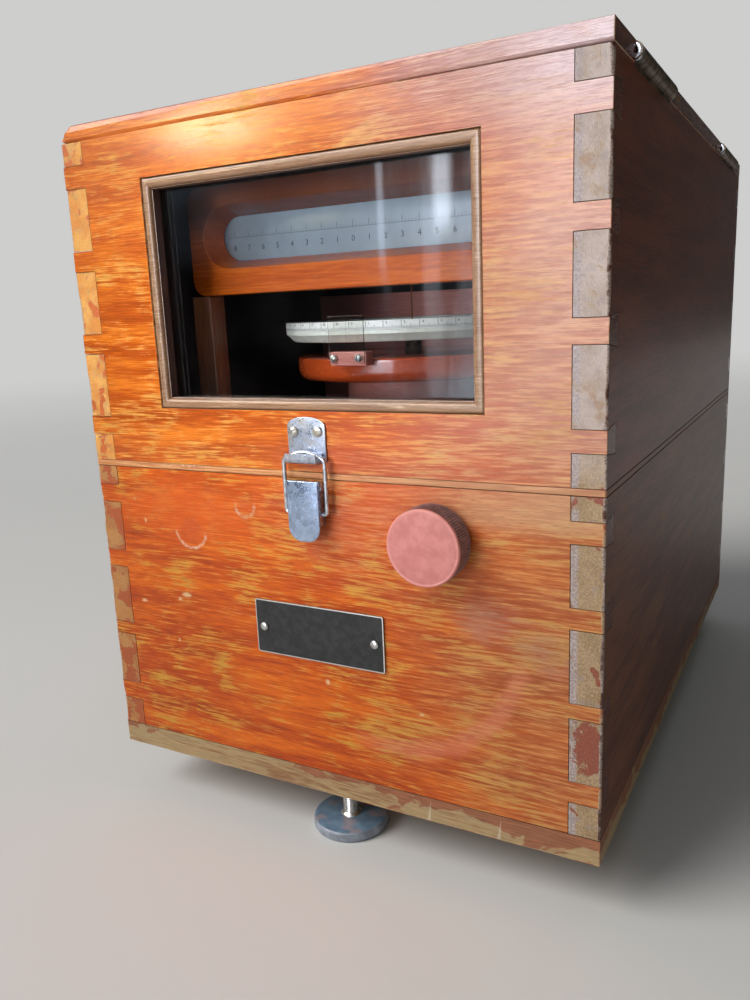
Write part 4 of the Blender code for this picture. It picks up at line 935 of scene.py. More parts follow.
def box_bm(bm, lo, hi, bevel=0.0, seg=2):
    a, b = P(*lo), P(*hi)
    r = bmesh.ops.create_cube(bm, size=1.0, matrix=Matrix.Translation((a + b) / 2) @ Matrix.Diagonal((*(b - a), 1.0)))
    if bevel:
        es = list({e for v in r["verts"] for e in v.link_edges})
        bmesh.ops.bevel(bm, geom=es, offset=bevel / 1000.0, segments=seg, profile=0.5, affect="EDGES", clamp_overlap=True)


def prism(bm, outline, lo, hi, plane="XZ", bevel=0.0, seg=2, holes=()):
    """Outline in (u, v) given thickness lo..hi along the plane's normal, with its rims rounded."""
    def pt(u, v, w):
        return P(*{"XZ": (u, w, v), "XY": (u, v, w), "YZ": (w, u, v)}[plane])
    sub = bmesh.new()
    top = [sub.verts.new(pt(u, v, hi)) for u, v in outline]
    bot = [sub.verts.new(pt(u, v, lo)) for u, v in outline]
    n = len(outline)
    sub.faces.new(top)
    sub.faces.new(list(reversed(bot)))
    for i in range(n):
        j = (i + 1) % n
        sub.faces.new((top[i], bot[i], bot[j], top[j]))
    bmesh.ops.recalc_face_normals(sub, faces=sub.faces)
    if bevel:
        es = [e for e in sub.edges if e.calc_face_angle(0.0) > rad(50)]
        bmesh.ops.bevel(sub, geom=es, offset=bevel / 1000.0, segments=seg, profile=0.5, affect="EDGES", clamp_overlap=True)
    me = mesh_from(sub, "tmp")
    bm.from_mesh(me)
    bpy.data.meshes.remove(me)


def rounded(x0, x1, z0, z1, r, n=8):
    rs = r if isinstance(r, tuple) else (r,) * 4
    pts = []
    for (cx, cz, sx, sz), rr, a0 in zip(((x0, z0, 1, 1), (x1, z0, -1, 1), (x1, z1, -1, -1), (x0, z1, 1, -1)), rs, (180, 270, 0, 90)):
        if rr <= 0:
            pts.append((cx, cz))
            continue
        for i in range(n + 1):
            a = rad(a0 + 90.0 * i / n)
            pts.append((cx + sx * rr + rr * math.cos(a), cz + sz * rr + rr * math.sin(a)))
    return pts


def tube(bm, points, r, seg=16, cap=True):
    """A round wire along design points, with its frame carried along the path."""
    pts = [P(*p) for p in points]
    rings = []
    up = None
    for i, p in enumerate(pts):
        a = pts[max(0, i - 1)]
        b = pts[min(len(pts) - 1, i + 1)]
        t = (b - a).normalized()
        if up is None:
            up = t.orthogonal().normalized()
        up = (up - t * up.dot(t)).normalized()
        side = t.cross(up)
        rings.append([bm.verts.new(p + (up * math.cos(2 * math.pi * k / seg) + side * math.sin(2 * math.pi * k / seg)) * (r / 1000.0)) for k in range(seg)])
    for A, B in zip(rings, rings[1:]):
        for k in range(seg):
            j = (k + 1) % seg
            bm.faces.new((A[k], A[j], B[j], B[k]))
    if cap:
        bm.faces.new(list(reversed(rings[0])))
        bm.faces.new(rings[-1])


def cut(ob, cutters):
    """Cuts helper meshes out of a piece for good."""
    for c in cutters:
        m = ob.modifiers.new("cut", "BOOLEAN")
        m.operation = "DIFFERENCE"
        m.object = c
        m.solver = "EXACT"
        m.use_self = True
    dg = bpy.context.evaluated_depsgraph_get()
    me = bpy.data.meshes.new_from_object(ob.evaluated_get(dg))
    ob.modifiers.clear()
    old = ob.data
    ob.data = me
    bpy.data.meshes.remove(old)
    for c in cutters:
        d = c.data
        bpy.data.objects.remove(c, do_unlink=True)
        bpy.data.meshes.remove(d)
    return ob


def tool(bm):
    me = finish_bm(bm, "tool")
    ob = bpy.data.objects.new("tool", me)
    scene.collection.objects.link(ob)
    return ob


def slotted_head(name, x, y, z, r, h, angle, mat, body, node=None, flat=False, facing="-Y", depth=None, width=None):
    """A round or flat screw head with its slot cut in, standing out along the facing direction."""
    bm = bmesh.new()
    n = 8
    if flat:
        prof = [(0.0, h), (r - 0.25, h), (r, h - 0.25), (r, 0.0)]
    else:
        prof = [(0.0, h)] + [(r * math.sin(math.pi / 2 * i / n), h * (0.22 + 0.78 * math.cos(math.pi / 2 * i / n))) for i in range(1, n + 1)] + [(r, 0.0)]
    prof += [(0.0, 0.0)]
    lathe(bm, prof, (x, y, z), facing, 40)
    me = finish_bm(bm, name)
    ob = bpy.data.objects.new(name, me)
    scene.collection.objects.link(ob)
    w = width or max(0.35, r * 0.20)
    dp = depth or h * 0.5
    t = bmesh.new()
    loc = Matrix.Translation(P(x, y, z)) @ AXES[facing] @ Matrix.Rotation(rad(angle), 4, "Z")
    bmesh.ops.create_cube(t, size=1.0, matrix=loc @ Matrix.Translation((0, 0, (h - dp + 3.0) / 1000.0)) @ Matrix.Diagonal((2.4 * r / 1000.0, w / 1000.0, 6.0 / 1000.0, 1.0)))
    cut(ob, [tool(t)])
    me = ob.data
    me.materials.clear()
    me.materials.append(mat)
    me.shade_smooth()
    me.set_sharp_from_angle(angle=rad(40))
    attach(ob, body)
    if node:
        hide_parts(node)
    return ob


# ---------------------------------------------------------------- window moulding and glass
WX, WZ0, WZ1 = 96.5, 217.2, 339.2
prof = [(0.0, 8.0), (0.0, 1.25), (0.18, 0.85), (0.55, 0.48), (1.1, 0.27), (1.9, 0.2), (2.9, 0.2), (3.7, 0.32), (4.3, 0.62), (4.75, 1.1), (4.95, 1.7), (5.05, 2.3),
        (5.25, 2.55), (5.6, 2.65), (5.6, 8.0)]
for tag, (a, b, inward) in {
        "top": ((-WX, WZ1), (WX, WZ1), (0, -1)), "bottom": ((-WX, WZ0), (WX, WZ0), (0, 1)),
        "left": ((-WX, WZ0), (-WX, WZ1), (1, 0)), "right": ((WX, WZ0), (WX, WZ1), (-1, 0))}.items():
    bm = bmesh.new()
    A, B = Vector(a), Vector(b)
    along = (B - A).normalized()
    inn = Vector(inward)
    cuts = 60
    rows = []
    gap = 0.06
    for k in range(cuts + 1):
        row = []
        for u, y in prof:
            lo, hi = A + inn * u + along * (u + gap), B + inn * u - along * (u + gap)
            q = lo.lerp(hi, k / cuts)
            rub_it = 0.10 * noise.noise(Vector((q.x * 0.05, q.y * 0.05, 3.0))) + 0.05 * noise.noise(Vector((q.x * 0.4, q.y * 0.4, 8.0)))
            yy = y + (max(0.0, rub_it + 0.05) if y < 2.0 else 0.0)
            row.append(bm.verts.new(P(q.x, yy, q.y)))
        rows.append(row)
    n = len(prof)
    for r0, r1 in zip(rows, rows[1:]):
        for i in range(n):
            j = (i + 1) % n
            bm.faces.new((r0[i], r0[j], r1[j], r1[i]))
    bm.faces.new(rows[0])
    bm.faces.new(list(reversed(rows[-1])))
    me = finish_bm(bm, "window_moulding_" + tag)
    ob = new_object("window_moulding_" + tag, me, [M["moulding"], M["reveal"]], "hood", ("window_moulding",), 40)
    for p in me.polygons:
        if Q(p.center).y > 2.4 and abs(p.normal.y) < 0.9:
            p.material_index = 1

bm = bmesh.new()
box_bm(bm, (-96.3, 8.3, 217.4), (96.3, 11.3, 339.0), 0.25, 1)
new_object("window_pane", finish_bm(bm, "window_pane"), M["glass"], "hood", ("window_glass",), 30)

# ---------------------------------------------------------------- knob with its straight knurl
RIBS = 92


def knurl(a, r, h):
    if 1.2 < h < 13.0 and r > 18.8:
        t = abs(((a * RIBS / (2 * math.pi)) % 1.0) - 0.5) * 2.0
        return r - 0.52 * (1.0 - t) ** 0.9
    return r


bm = bmesh.new()
kp = [(0.0, 14.5), (8.0, 14.47), (14.5, 14.42), (17.3, 14.36), (17.7, 14.28), (17.95, 14.42), (18.35, 14.45), (18.75, 14.25), (19.05, 13.85), (19.2, 13.3), (19.28, 12.95),
      (19.28, 12.4), (19.28, 7.0), (19.28, 1.6), (19.2, 1.1), (19.0, 0.5), (18.5, 0.0), (8.0, 0.0), (7.0, 2.5), (3.3, 2.5), (3.3, 9.0), (0.0, 9.0)]
lathe(bm, kp, (70.5, -1.0, 155.0), "-Y", RIBS * 6, radial=knurl)
new_object("knob_knurled", finish_bm(bm, "knob_knurled"), M["knob"], "knob_spindle", ("knob",), 50)

# ---------------------------------------------------------------- nameplate with a raised border
bm = bmesh.new()
prism(bm, rounded(-40.7, 40.1, 80.4, 111.7, 1.2, 6), -1.02, -0.3, "XZ", 0.12, 1)
me_field = finish_bm(bm, "nameplate_field")
ob = new_object("nameplate_field", me_field, M["plate"], "case", ("nameplate",), 30)
bm = bmesh.new()
outer, inner = rounded(-40.7, 40.1, 80.4, 111.7, 1.2, 6), rounded(-40.15, 39.55, 80.95, 111.15, 0.8, 6)
rings = [[bm.verts.new(P(u, y, v)) for u, v in loop] for loop, y in ((outer, -0.95), (outer, -1.22), (inner, -1.28), (inner, -1.0))]
for A, B in zip(rings, rings[1:]):
    for i in range(len(A)):
        j = (i + 1) % len(A)
        bm.faces.new((A[i], A[j], B[j], B[i]))
for i in range(len(rings[0])):
    j = (i + 1) % len(rings[0])
    bm.faces.new((rings[3][i], rings[3][j], rings[0][j], rings[0][i]))
ob = new_object("nameplate_border", finish_bm(bm, "nameplate_border"), M["silver"], "case", (), 40)
slotted_head("nameplate_rivet_left", -35.3, -1.35, 96.0, 2.4, 1.45, 0, M["nickel_screw"], "case", "nameplate_screw_left", width=0.05, depth=0.02)
slotted_head("nameplate_rivet_right", 34.7, -1.35, 96.0, 2.4, 1.45, 0, M["nickel_screw"], "case", "nameplate_screw_right", width=0.05, depth=0.02)

# ---------------------------------------------------------------- toggle latch
bm = bmesh.new()
top = [(-11.4, 190.9), (11.4, 190.9), (11.4, 209.0)] + [(11.4 * math.cos(rad(a)), 209.0 + 5.1 * math.sin(rad(a)) ** 0.9) for a in range(6, 178, 6)] + [(-11.4, 209.0)]
prism(bm, top, -1.3, -0.3, "XZ", 0.34, 3)
# the hook: a strip rolled out of the plate's foot and up
hook = [(-1.25, 196.0), (-1.3, 192.6), (-1.7, 191.3), (-2.7, 190.75), (-5.9, 190.7), (-7.35, 191.0), (-8.25, 191.9), (-8.5, 193.4), (-8.5, 195.9)]
pts = []
for i, (a, b) in enumerate(hook):
    prev, nxt = Vector(hook[max(0, i - 1)]), Vector(hook[min(len(hook) - 1, i + 1)])
    t = (nxt - prev).normalized()
    pts.append((Vector((a, b)), Vector((-t.y, t.x))))
rows = []
for q, nn in pts:
    ins = q - nn * 1.0 if (q - nn * 1.0 - Vector((-4.5, 196.0))).length < (q - Vector((-4.5, 196.0))).length else q + nn * 1.0
    rows.append((q, ins))
for x0, x1 in ((-9.3, 9.3),):
    vs = []
    for q, ins in rows:
        vs.append([bm.verts.new(P(x, p.x, p.y)) for x, p in ((x0, q), (x1, q), (x1, ins), (x0, ins))])
    for A, B in zip(vs, vs[1:]):
        for i in range(4):
            j = (i + 1) % 4
            bm.faces.new((A[i], A[j], B[j], B[i]))
    bm.faces.new(vs[0])
    bm.faces.new(list(reversed(vs[-1])))
new_object("latch_keeper_pressed", finish_bm(bm, "latch_keeper_pressed"), M["nickel_plate"], "hood", ("latch_keeper",), 38)
slotted_head("keeper_screw_left_cut", -7.2, -1.3, 206.6, 2.9, 2.0, 38, M["nickel_screw"], "hood", "keeper_screw_left", width=0.7)
slotted_head("keeper_screw_right_cut", 7.2, -1.3, 206.8, 2.9, 1.7, 14, M["nickel_screw"], "hood", "keeper_screw_right", width=0.7)

# lever: a folded box with a rounded tongue
bm = bmesh.new()
prism(bm, rounded(-9.5, 9.5, 149.9, 182.0, (7.6, 7.6, 1.1, 1.1), 8), -8.4, -7.45, "XZ", 0.40, 3)
for s in (-1, 1):
    cheek = [(-7.6, 158.2), (-3.7, 158.2), (-2.2, 160.5), (-1.9, 162.0), (-1.9, 178.3), (-2.3, 180.2), (-3.4, 181.5), (-5.0, 182.0), (-7.6, 182.0)]
    xs = sorted((s * 8.62, s * 9.5))
    prism(bm, cheek, xs[0], xs[1], "YZ", 0.22, 2)
box_bm(bm, (-9.3, -8.2, 181.05), (9.3, -5.4, 182.0), 0.22, 2)
lev = new_object("latch_lever_folded", finish_bm(bm, "latch_lever_folded"), M["nickel"], "latch_lever", ("latch_lever",), 38)
bm = bmesh.new()
for s in (-1, 1):
    lathe(bm, [(0.0, 0.0), (1.25, 0.0), (1.25, 0.55), (0.9, 0.72), (0.0, 0.72)] if s > 0 else [(0.0, 0.0), (1.25, 0.0), (1.25, -0.55), (0.9, -0.72), (0.0, -0.72)],
          (s * 9.42, -4.8, 178.0), "X", 24)
new_object("latch_rivets", finish_bm(bm, "latch_rivets"), M["nickel_bright"], "latch_lever", (), 38)

# bail: one sprung wire, arched over the hook
half, leg_top = 12.4, 190.9
path = [(9.7, 164.5), (10.6, 164.5)]
path += [(10.6 + 1.8 * math.sin(rad(a)), 166.3 - 1.8 * math.cos(rad(a))) for a in range(10, 91, 10)]
path += [(half, z) for z in (168, 171, 174, 177, 180, 183, 186, 188.5, leg_top)]
path += [(half - 2.3 * (1 - math.cos(rad(a))), leg_top + 2.6 * math.sin(rad(a))) for a in range(12, 73, 12)]
ex, ez = path[-1]
N = 18
path += [(ex * (1 - k / N), ez + (196.3 - ez) * math.sin(math.pi / 2 * k / N) ** 0.85) for k in range(1, N + 1)]
left = [(-x, z) for x, z in reversed(path[:-1])]
bm = bmesh.new()
tube(bm, [(x, -4.8, z) for x, z in path + left], 1.15, 18)
new_object("latch_bail_wire", finish_bm(bm, "latch_bail_wire"), M["nickel_bright"], "latch_bail", ("latch_bail",), 50)
nodes["latch_base"].data.materials.clear()
nodes["latch_base"].data.materials.append(M["nickel_plate"])

# ---------------------------------------------------------------- levelling feet
for node, (fx, fy) in {"levelling_foot_front": (0.0, 23.0), "levelling_foot_rear_left": (-110.0, 420.0), "levelling_foot_rear_right": (110.0, 420.0)}.items():
    bm = bmesh.new()
    z0 = -31.0
    disc = [(0.0, z0 + 6.5), (6.6, z0 + 6.5), (20.6, z0 + 6.42), (21.5, z0 + 6.2), (22.0, z0 + 5.7), (22.2, z0 + 4.9), (22.15, z0 + 3.2), (22.2, z0 + 1.6), (21.8, z0 + 0.7),
            (21.2, z0 + 0.15), (20.4, z0 + 0.0), (0.0, z0 + 0.0)]
    lathe(bm, disc, (fx, fy, 0.0), "Z", 128)
    me = finish_bm(bm, node + "_disc")
    ob = new_object(node + "_disc", me, [M["foot"], M["foot_side"]], node.replace("levelling_foot", "foot"), (node,), 40)
    for p in me.polygons:
        if abs(p.normal.z) < 0.72:
            p.material_index = 1
    bm = bmesh.new()
    stud = [(0.0, z0 + 6.2), (6.3, z0 + 6.4), (6.0, z0 + 7.2), (5.0, z0 + 8.0), (4.55, z0 + 8.6)]
    z = z0 + 9.0
    while z < 36.0:
        stud += [(4.7, z), (4.7, z + 0.12), (4.34, z + 0.5), (4.34, z + 0.6)]
        z += 1.0
    stud += [(3.6, 38.0), (0.0, 38.0)]
    lathe(bm, stud, (fx, fy, 0.0), "Z", 48)
    new_object(node + "_stud", finish_bm(bm, node + "_stud"), M["stud"], node.replace("levelling_foot", "foot"), (), 60)
    # threaded bush let into the baseboard
    bm = bmesh.new()
    lathe(bm, [(5.15, -0.55), (8.6, -0.55), (9.2, -0.25), (9.2, 0.0), (5.15, 0.0)], (fx, fy, 0.0), "Z", 64, closed=True)
    new_object(node.replace("levelling_foot", "foot_bush"), finish_bm(bm, "foot_bush"), M["brass"], "case", (), 40)


# =====================================================================================================
# behind the window
# =====================================================================================================
def text_mesh(s, size):
    cu = bpy.data.curves.new("t", "FONT")
    cu.body = s
    cu.size = size
    cu.align_x = "CENTER"
    cu.align_y = "BOTTOM_BASELINE"
    cu.resolution_u = 3
    ob = bpy.data.objects.new("t", cu)
    scene.collection.objects.link(ob)
    dg = bpy.context.evaluated_depsgraph_get()
    me = bpy.data.meshes.new_from_object(ob.evaluated_get(dg))
    bpy.data.objects.remove(ob, do_unlink=True)
    bpy.data.curves.remove(cu)
    vs = [(v.co.x, v.co.y) for v in me.vertices]
    fs = [tuple(p.vertices) for p in me.polygons]
    bpy.data.meshes.remove(me)
    return vs, fs


DIGITS = {}


def glyphs(s, size):
    if (s, size) not in DIGITS:
        DIGITS[(s, size)] = text_mesh(s, size)
    return DIGITS[(s, size)]


def slab(bm, quad, n, t=0.02):
    """A flat patch of ink given a hair of thickness along n."""
    up = [bm.verts.new(q + n * (t / 1000.0)) for q in quad]
    lo = [bm.verts.new(q) for q in quad]
    bm.faces.new(up)
    bm.faces.new(list(reversed(lo)))
    for i in range(len(quad)):
        j = (i + 1) % len(quad)
        bm.faces.new((up[i], lo[i], lo[j], up[j]))


# polished scale bar: the CAD outline with its slot, rounded in the round
bm = clean("scale_bar")
me = bevelled("scale_bar_polished", bm, lambda e: 0.9 if e.calc_face_angle(0) > rad(70) else 0.35, step=400.0, top=1.0)
for p in me.polygons:
    p.use_smooth = True
ob = new_object("scale_bar_polished", me, M["polished"], "case", ("scale_bar",), None, weighted=True)

# opal strip and its printed scale
bm = bmesh.new()
box_bm(bm, (-97.0, 58.0, 289.0), (97.0, 60.5, 331.0), 0.3, 2)
new_object("opal_strip", finish_bm(bm, "opal_strip"), M["opal"], "case", ("opal_scale",), 40)
bm = bmesh.new()
yf = 57.97
nrm = Vector((0, -1, 0))


def ink_xz(x0, x1, z0, z1):
    slab(bm, [P(x0, yf, z0), P(x1, yf, z0), P(x1, yf, z1), P(x0, yf, z1)], nrm)


ink_xz(-84.5, 84.5, 310.35, 310.60)
for mm in range(-84, 85, 2):
    h = 3.6 if mm % 10 == 0 else 1.4
    w = 0.16 if mm % 10 == 0 else 0.10
    ink_xz(mm - w, mm + w, 310.5, 310.5 + h)
new_object("scale_divisions", mesh_from(bm, "scale_divisions"), M["ink_faint"], "case", (), None)
bm = bmesh.new()
for k in range(-8, 9):
    vs, fs = glyphs(str(abs(k)), 4.4)
    made = [bm.verts.new(P(k * 10.0 + x, yf - 0.02, 303.0 + z)) for x, z in vs]
    for f in fs:
        try:
            bm.faces.new([made[i] for i in f])
        except ValueError:
            pass
new_object("scale_figures", mesh_from(bm, "scale_figures"), M["ink"], "case", (), None)

# drum: ivory band, printed divisions, finely ribbed skirt
DR, DZ0, DZ1 = 79.0, 248.7, 260.4
bm = bmesh.new()
FINE = 250


def ribbed(a, r, h):
    if 249.2 < h < 254.9 and r > 74.4:
        t = abs(((a * FINE / (2 * math.pi)) % 1.0) - 0.5) * 2.0
        return r - 0.22 * (1.0 - t)
    return r


dp = [(5.3, DZ1 - 1.0), (14.0, DZ1 - 1.0), (15.0, DZ1 - 3.2), (73.3, DZ1 - 3.2), (73.9, DZ1 - 2.8), (74.2, DZ1 - 0.5), (74.6, DZ1 - 0.12), (78.3, DZ1 - 0.0), (78.8, DZ1 - 0.15), (79.0, DZ1 - 0.5),
      (79.0, DZ0 + 6.6), (78.75, DZ0 + 6.3), (78.9, DZ0 + 6.0), (78.9, DZ0 + 4.4), (77.6, DZ0 + 3.6), (75.4, DZ0 + 1.2), (74.4, DZ0 + 0.35), (73.6, DZ0 + 0.02), (5.3, DZ0 + 0.02)]
lathe(bm, [(r, h) for r, h in dp], (0.0, 128.0, 0.0), "Z", FINE * 3, closed=True, radial=ribbed)
me = finish_bm(bm, "drum_ivory")
ob = new_object("drum_ivory", me, [M["drum"], M["skirt"]], "torsion_head", ("drum_dial",), 35)
for p in me.polygons:
    if Q(p.center).z < DZ0 + 6.5:
        p.material_index = 1

bm = bmesh.new()
bg = bmesh.new()


def on_drum(a, z, lift=0.015):
    """Point on the drum's band at angle a (degrees) from the front, clockwise from above as numbers run to the right."""
    r = DR + lift
    return P(r * math.sin(rad(a)), 128.0 - r * math.cos(rad(a)), z)


def ink_drum(target, a0, a1, z0, z1, parts=1):
    for k in range(parts):
        b0, b1 = a0 + (a1 - a0) * k / parts, a0 + (a1 - a0) * (k + 1) / parts
        am = rad((b0 + b1) / 2)
        slab(target, [on_drum(b0, z0), on_drum(b1, z0), on_drum(b1, z1), on_drum(b0, z1)], Vector((math.sin(am), -math.cos(am), 0)), 0.02)


deg = 180.0 / math.pi / DR                     # degrees per mm of arc
ink_drum(bg, 0.0, 360.0, 256.30, 256.46, 240)
ink_drum(bg, 0.0, 360.0, 255.74, 255.90, 240)
for i in range(500):
    a = i * 0.72
    if i % 10 == 0:
        ink_drum(bm, a - 0.13 * deg, a + 0.13 * deg, 256.4, 260.0)
    elif i % 5 == 0:
        ink_drum(bm, a - 0.09 * deg, a + 0.09 * deg, 256.4, 257.9)
    else:
        ink_drum(bm, a - 0.06 * deg, a + 0.06 * deg, 256.4, 257.2)
for k in range(50):
    vs, fs = glyphs(str(k), 2.15)
    a = k * 7.2 + 1.75 * deg + (0.55 * deg if k > 9 else 0.0)
    made = [bm.verts.new(on_drum(a + x * deg, 258.2 + z, 0.03)) for x, z in vs]
    for f in fs:
        try:
            bm.faces.new([made[i] for i in f])
        except ValueError:
            pass
new_object("drum_figures", mesh_from(bm, "drum_figures"), M["ink"], "torsion_head", (), None)
new_object("drum_rings", finish_bm(bg, "drum_rings"), M["ink_grey"], "torsion_head", (), None)

# drum table: turned, polished, on its pedestal
bm = bmesh.new()
tz0, tz1, TR = 225.8, 239.5, 72.5
tp = [(7.0, tz1), (TR - 1.6, tz1), (TR - 0.7, tz1 - 0.25), (TR - 0.15, tz1 - 0.9), (TR, tz1 - 1.7), (TR, tz0 + 5.6)]
tp += [(TR - 5.0 + 5.0 * math.cos(rad(a)), tz0 + 5.5 - 5.5 * math.sin(rad(a))) for a in range(10, 91, 10)]
tp += [(44.0, tz0), (42.0, tz0 - 2.0), (42.0, 176.3), (7.0, 176.3)]
lathe(bm, tp, (0.0, 128.0, 0.0), "Z", 160, closed=True)
me = finish_bm(bm, "drum_table_turned")
ob = new_object("drum_table_turned", me, [M["table_red"], M["pinkish"]], "case", ("drum_table",), 40)
for p in me.polygons:
    if Q(p.center).z < tz0 - 0.5:
        p.material_index = 1

# cursor: clear plate with a hairline, on a block with two screws
bm = bmesh.new()
box_bm(bm, (-12.0, 45.9, 237.6), (10.2, 47.0, 263.3), 0.12, 1)
new_object("cursor_window", finish_bm(bm, "cursor_window"), M["glass_clear"], "case", ("cursor_plate",), 30)
bm = bmesh.new()
slab(bm, [P(-1.0, 47.04, 246.0), P(-0.86, 47.04, 246.0), P(-0.86, 47.04, 263.1), P(-1.0, 47.04, 263.1)], Vector((0, 1, 0)), 0.015)
new_object("cursor_hairline", finish_bm(bm, "cursor_hairline"), M["ink_grey"], "case", (), None)
bm = bmesh.new()
box_bm(bm, (-12.0, 47.3, 236.2), (10.6, 55.2, 244.0), 0.5, 3)
new_object("cursor_block_cut", finish_bm(bm, "cursor_block_cut"), M["pinkish"], "case", ("cursor_block",), 40)
slotted_head("cursor_screw_left_cut", -9.3, 45.85, 240.6, 2.1, 1.5, 62, M["nickel_screw"], "case", "cursor_screw_left", width=0.55)
slotted_head("cursor_screw_right_cut", 6.4, 45.85, 240.6, 2.1, 1.5, 100, M["nickel_screw"], "case", "cursor_screw_right", width=0.55)

for node, mat, bev in (("scale_upright_left", "mahogany_dark", 0.8), ("scale_upright_right", "mahogany_dark", 0.8), ("partition_panel", "pinkish", 0.8), ("deck_panel", "deck", 0.4),
                       ("return_mirror", "mirror", 0.25), ("lamp_house", "enamel", 0.3), ("worm_bearing", "brass", 0.4)):
    bm = clean(node)
    me = bevelled(node + "_edged", bm, lambda e, bev=bev: bev if e.calc_face_angle(0) > rad(60) else 0.0, step=900.0, top=1.0)
    for p in me.polygons:
        p.use_smooth = True
    new_object(node + "_edged", me, M[mat], "case", (node,), None, weighted=True)

for node, mat in {"drum_spindle": "brass_dark", "worm_shaft": "steel", "worm_wheel": "brass", "fixed_coil_front": "copper", "fixed_coil_rear": "copper",
                  "moving_coil": "copper", "coil_mirror": "mirror", "lamp_bulb": "bulb"}.items():
    me = nodes[node].data
    me.materials.clear()
    me.materials.append(M[mat])

# =====================================================================================================
# hinges, their screws, terminals
# =====================================================================================================
for node, body in (("lid_side_leaf_front", "hood"), ("lid_side_leaf_rear", "hood"), ("lid_leaf_front", "lid"), ("lid_leaf_rear", "lid")):
    me = nodes[node].data
    me.materials.clear()
    me.materials.append(M["brass_dark"])
for tag, y0 in (("front", 38.0), ("rear", 327.6)):
    # the barrel's bright worn nose, with the pin's hole in it
    bm = bmesh.new()
    lathe(bm, [(2.0, 0.0), (3.1, -0.05), (3.7, 0.2), (4.02, 0.6), (4.04, 2.6), (3.96, 2.7), (2.0, 2.7)], (151.4, y0 - 0.02, 368.2), "Y", 48, closed=True)
    new_object("lid_hinge_nose_" + tag, finish_bm(bm, "nose"), M["nickel_bright"], "hood", (), 40)

for node, body in (("case_hinge_leaf", "case"), ("hood_hinge_leaf", "hood")):
    bm = clean(node)
    me = bevelled(node + "_edged", bm, lambda e: 0.25 if e.calc_face_angle(0) > rad(60) else 0.0, step=900.0, top=0.3)
    me.materials.clear()
    ob = new_object(node + "_edged", me, M["brass"], body, (node,), 30)
k = 0
for body, z in (("case", 163.6), ("case", 155.0), ("hood", 203.6), ("hood", 212.0)):
    for i in range(6):
        x = -100.0 + 40.0 * i + (10.0 if z in (155.0, 212.0) else -10.0)
        if abs(x) < 114:
            slotted_head(f"hinge_screw_{k}", x, 455.25, z, 3.0, 0.55, 17 + 37 * k, M["brass"], body, None, flat=True, facing="Y", width=0.6, depth=0.4)
            k += 1

bm = bmesh.new()
prism(bm, rounded(-80.0, 80.0, 93.0, 127.0, 2.5, 6), 453.9, 461.9, "XZ", 0.8, 3)
new_object("terminal_strip_polished", finish_bm(bm, "terminal_strip_polished"), M["ebonite"], "case", ("terminal_strip",), 35)
for i, tx in enumerate((-60.0, -20.0, 20.0, 60.0)):
    bm = bmesh.new()
    st = [(0.0, 0.0), (2.2, 0.0)]
    y = 0.4
    while y < 13.6:
        st += [(2.5, y), (2.5, y + 0.1), (2.22, y + 0.42), (2.22, y + 0.5)]
        y += 0.8
    st += [(2.4, 13.7), (1.9, 14.1), (0.0, 14.1)]
    lathe(bm, st, (tx, 461.9, 110.0), "Y", 40)
    new_object(f"terminal_post_{i + 1}", finish_bm(bm, "post"), M["brass"], "case", (), 60)

    def nut(a, r, h):
        if r > 6.6 and 1.4 < h < 6.7:
            t = abs(((a * 48 / (2 * math.pi)) % 1.0) - 0.5) * 2.0
            return r - 0.35 * (1 - t)
        return r

    bm = bmesh.new()
    lathe(bm, [(2.85, 0.0), (4.4, 0.0), (4.6, 0.3), (4.6, 0.9), (6.2, 1.0), (6.75, 1.3), (7.0, 1.7), (7.0, 6.2), (6.75, 6.7), (6.2, 7.2), (5.0, 7.8), (3.4, 8.0), (2.85, 7.9)],
          (tx, 462.2, 110.0), "Y", 288, closed=True, radial=nut)
    new_object(f"terminal_nut_{i + 1}_knurled", finish_bm(bm, "nut"), M["brass"], f"terminal_{i + 1}", (f"terminal_nut_{i + 1}",), 45)
    slotted_head(f"strip_screw_{i + 1}", (-72.0, -40.0 + 80.0 * 0, 40.0, 72.0)[i], 461.85, 110.0 if i in (0, 3) else 99.5, 2.6, 0.5, 30 + 50 * i, M["brass"], "case", None, flat=True,
                 facing="Y", width=0.55, depth=0.35)

# =====================================================================================================
# camera, light, floor
# =====================================================================================================
R = Matrix(((0.8786, 0.4757, -0.0424), (0.0678, -0.2122, -0.9749), (-0.4727, 0.8536, -0.2187)))
cam = bpy.data.cameras.new("camera")
cam.lens = 30.27
cam.sensor_width = 36.0
cam.sensor_fit = "AUTO"
cam.clip_start = 0.02
cam.clip_end = 100.0
camob = bpy.data.objects.new("camera", cam)
scene.collection.objects.link(camob)
right, down, fwd = (Vector(R[i]).normalized() for i in range(3))
rot = Matrix((right, -down, -fwd)).transposed()
camob.matrix_world = Matrix.Translation(P(236.5, -358.6, 265.0)) @ rot.to_4x4()
scene.camera = camob


def area(name, at, aim, size, power, color=(1, 1, 1), size_y=None, spread=180.0):
    li = bpy.data.lights.new(name, "AREA")
    li.shape = "RECTANGLE" if size_y else "SQUARE"
    li.size = size
    if size_y:
        li.size_y = size_y
    li.energy = power
    li.color = color
    li.spread = rad(spread)
    ob = bpy.data.objects.new(name, li)
    scene.collection.objects.link(ob)
    ob.location = P(*at)
    d = (P(*aim) - P(*at)).normalized()
    ob.rotation_euler = d.to_track_quat("-Z", "Y").to_euler()
    return ob


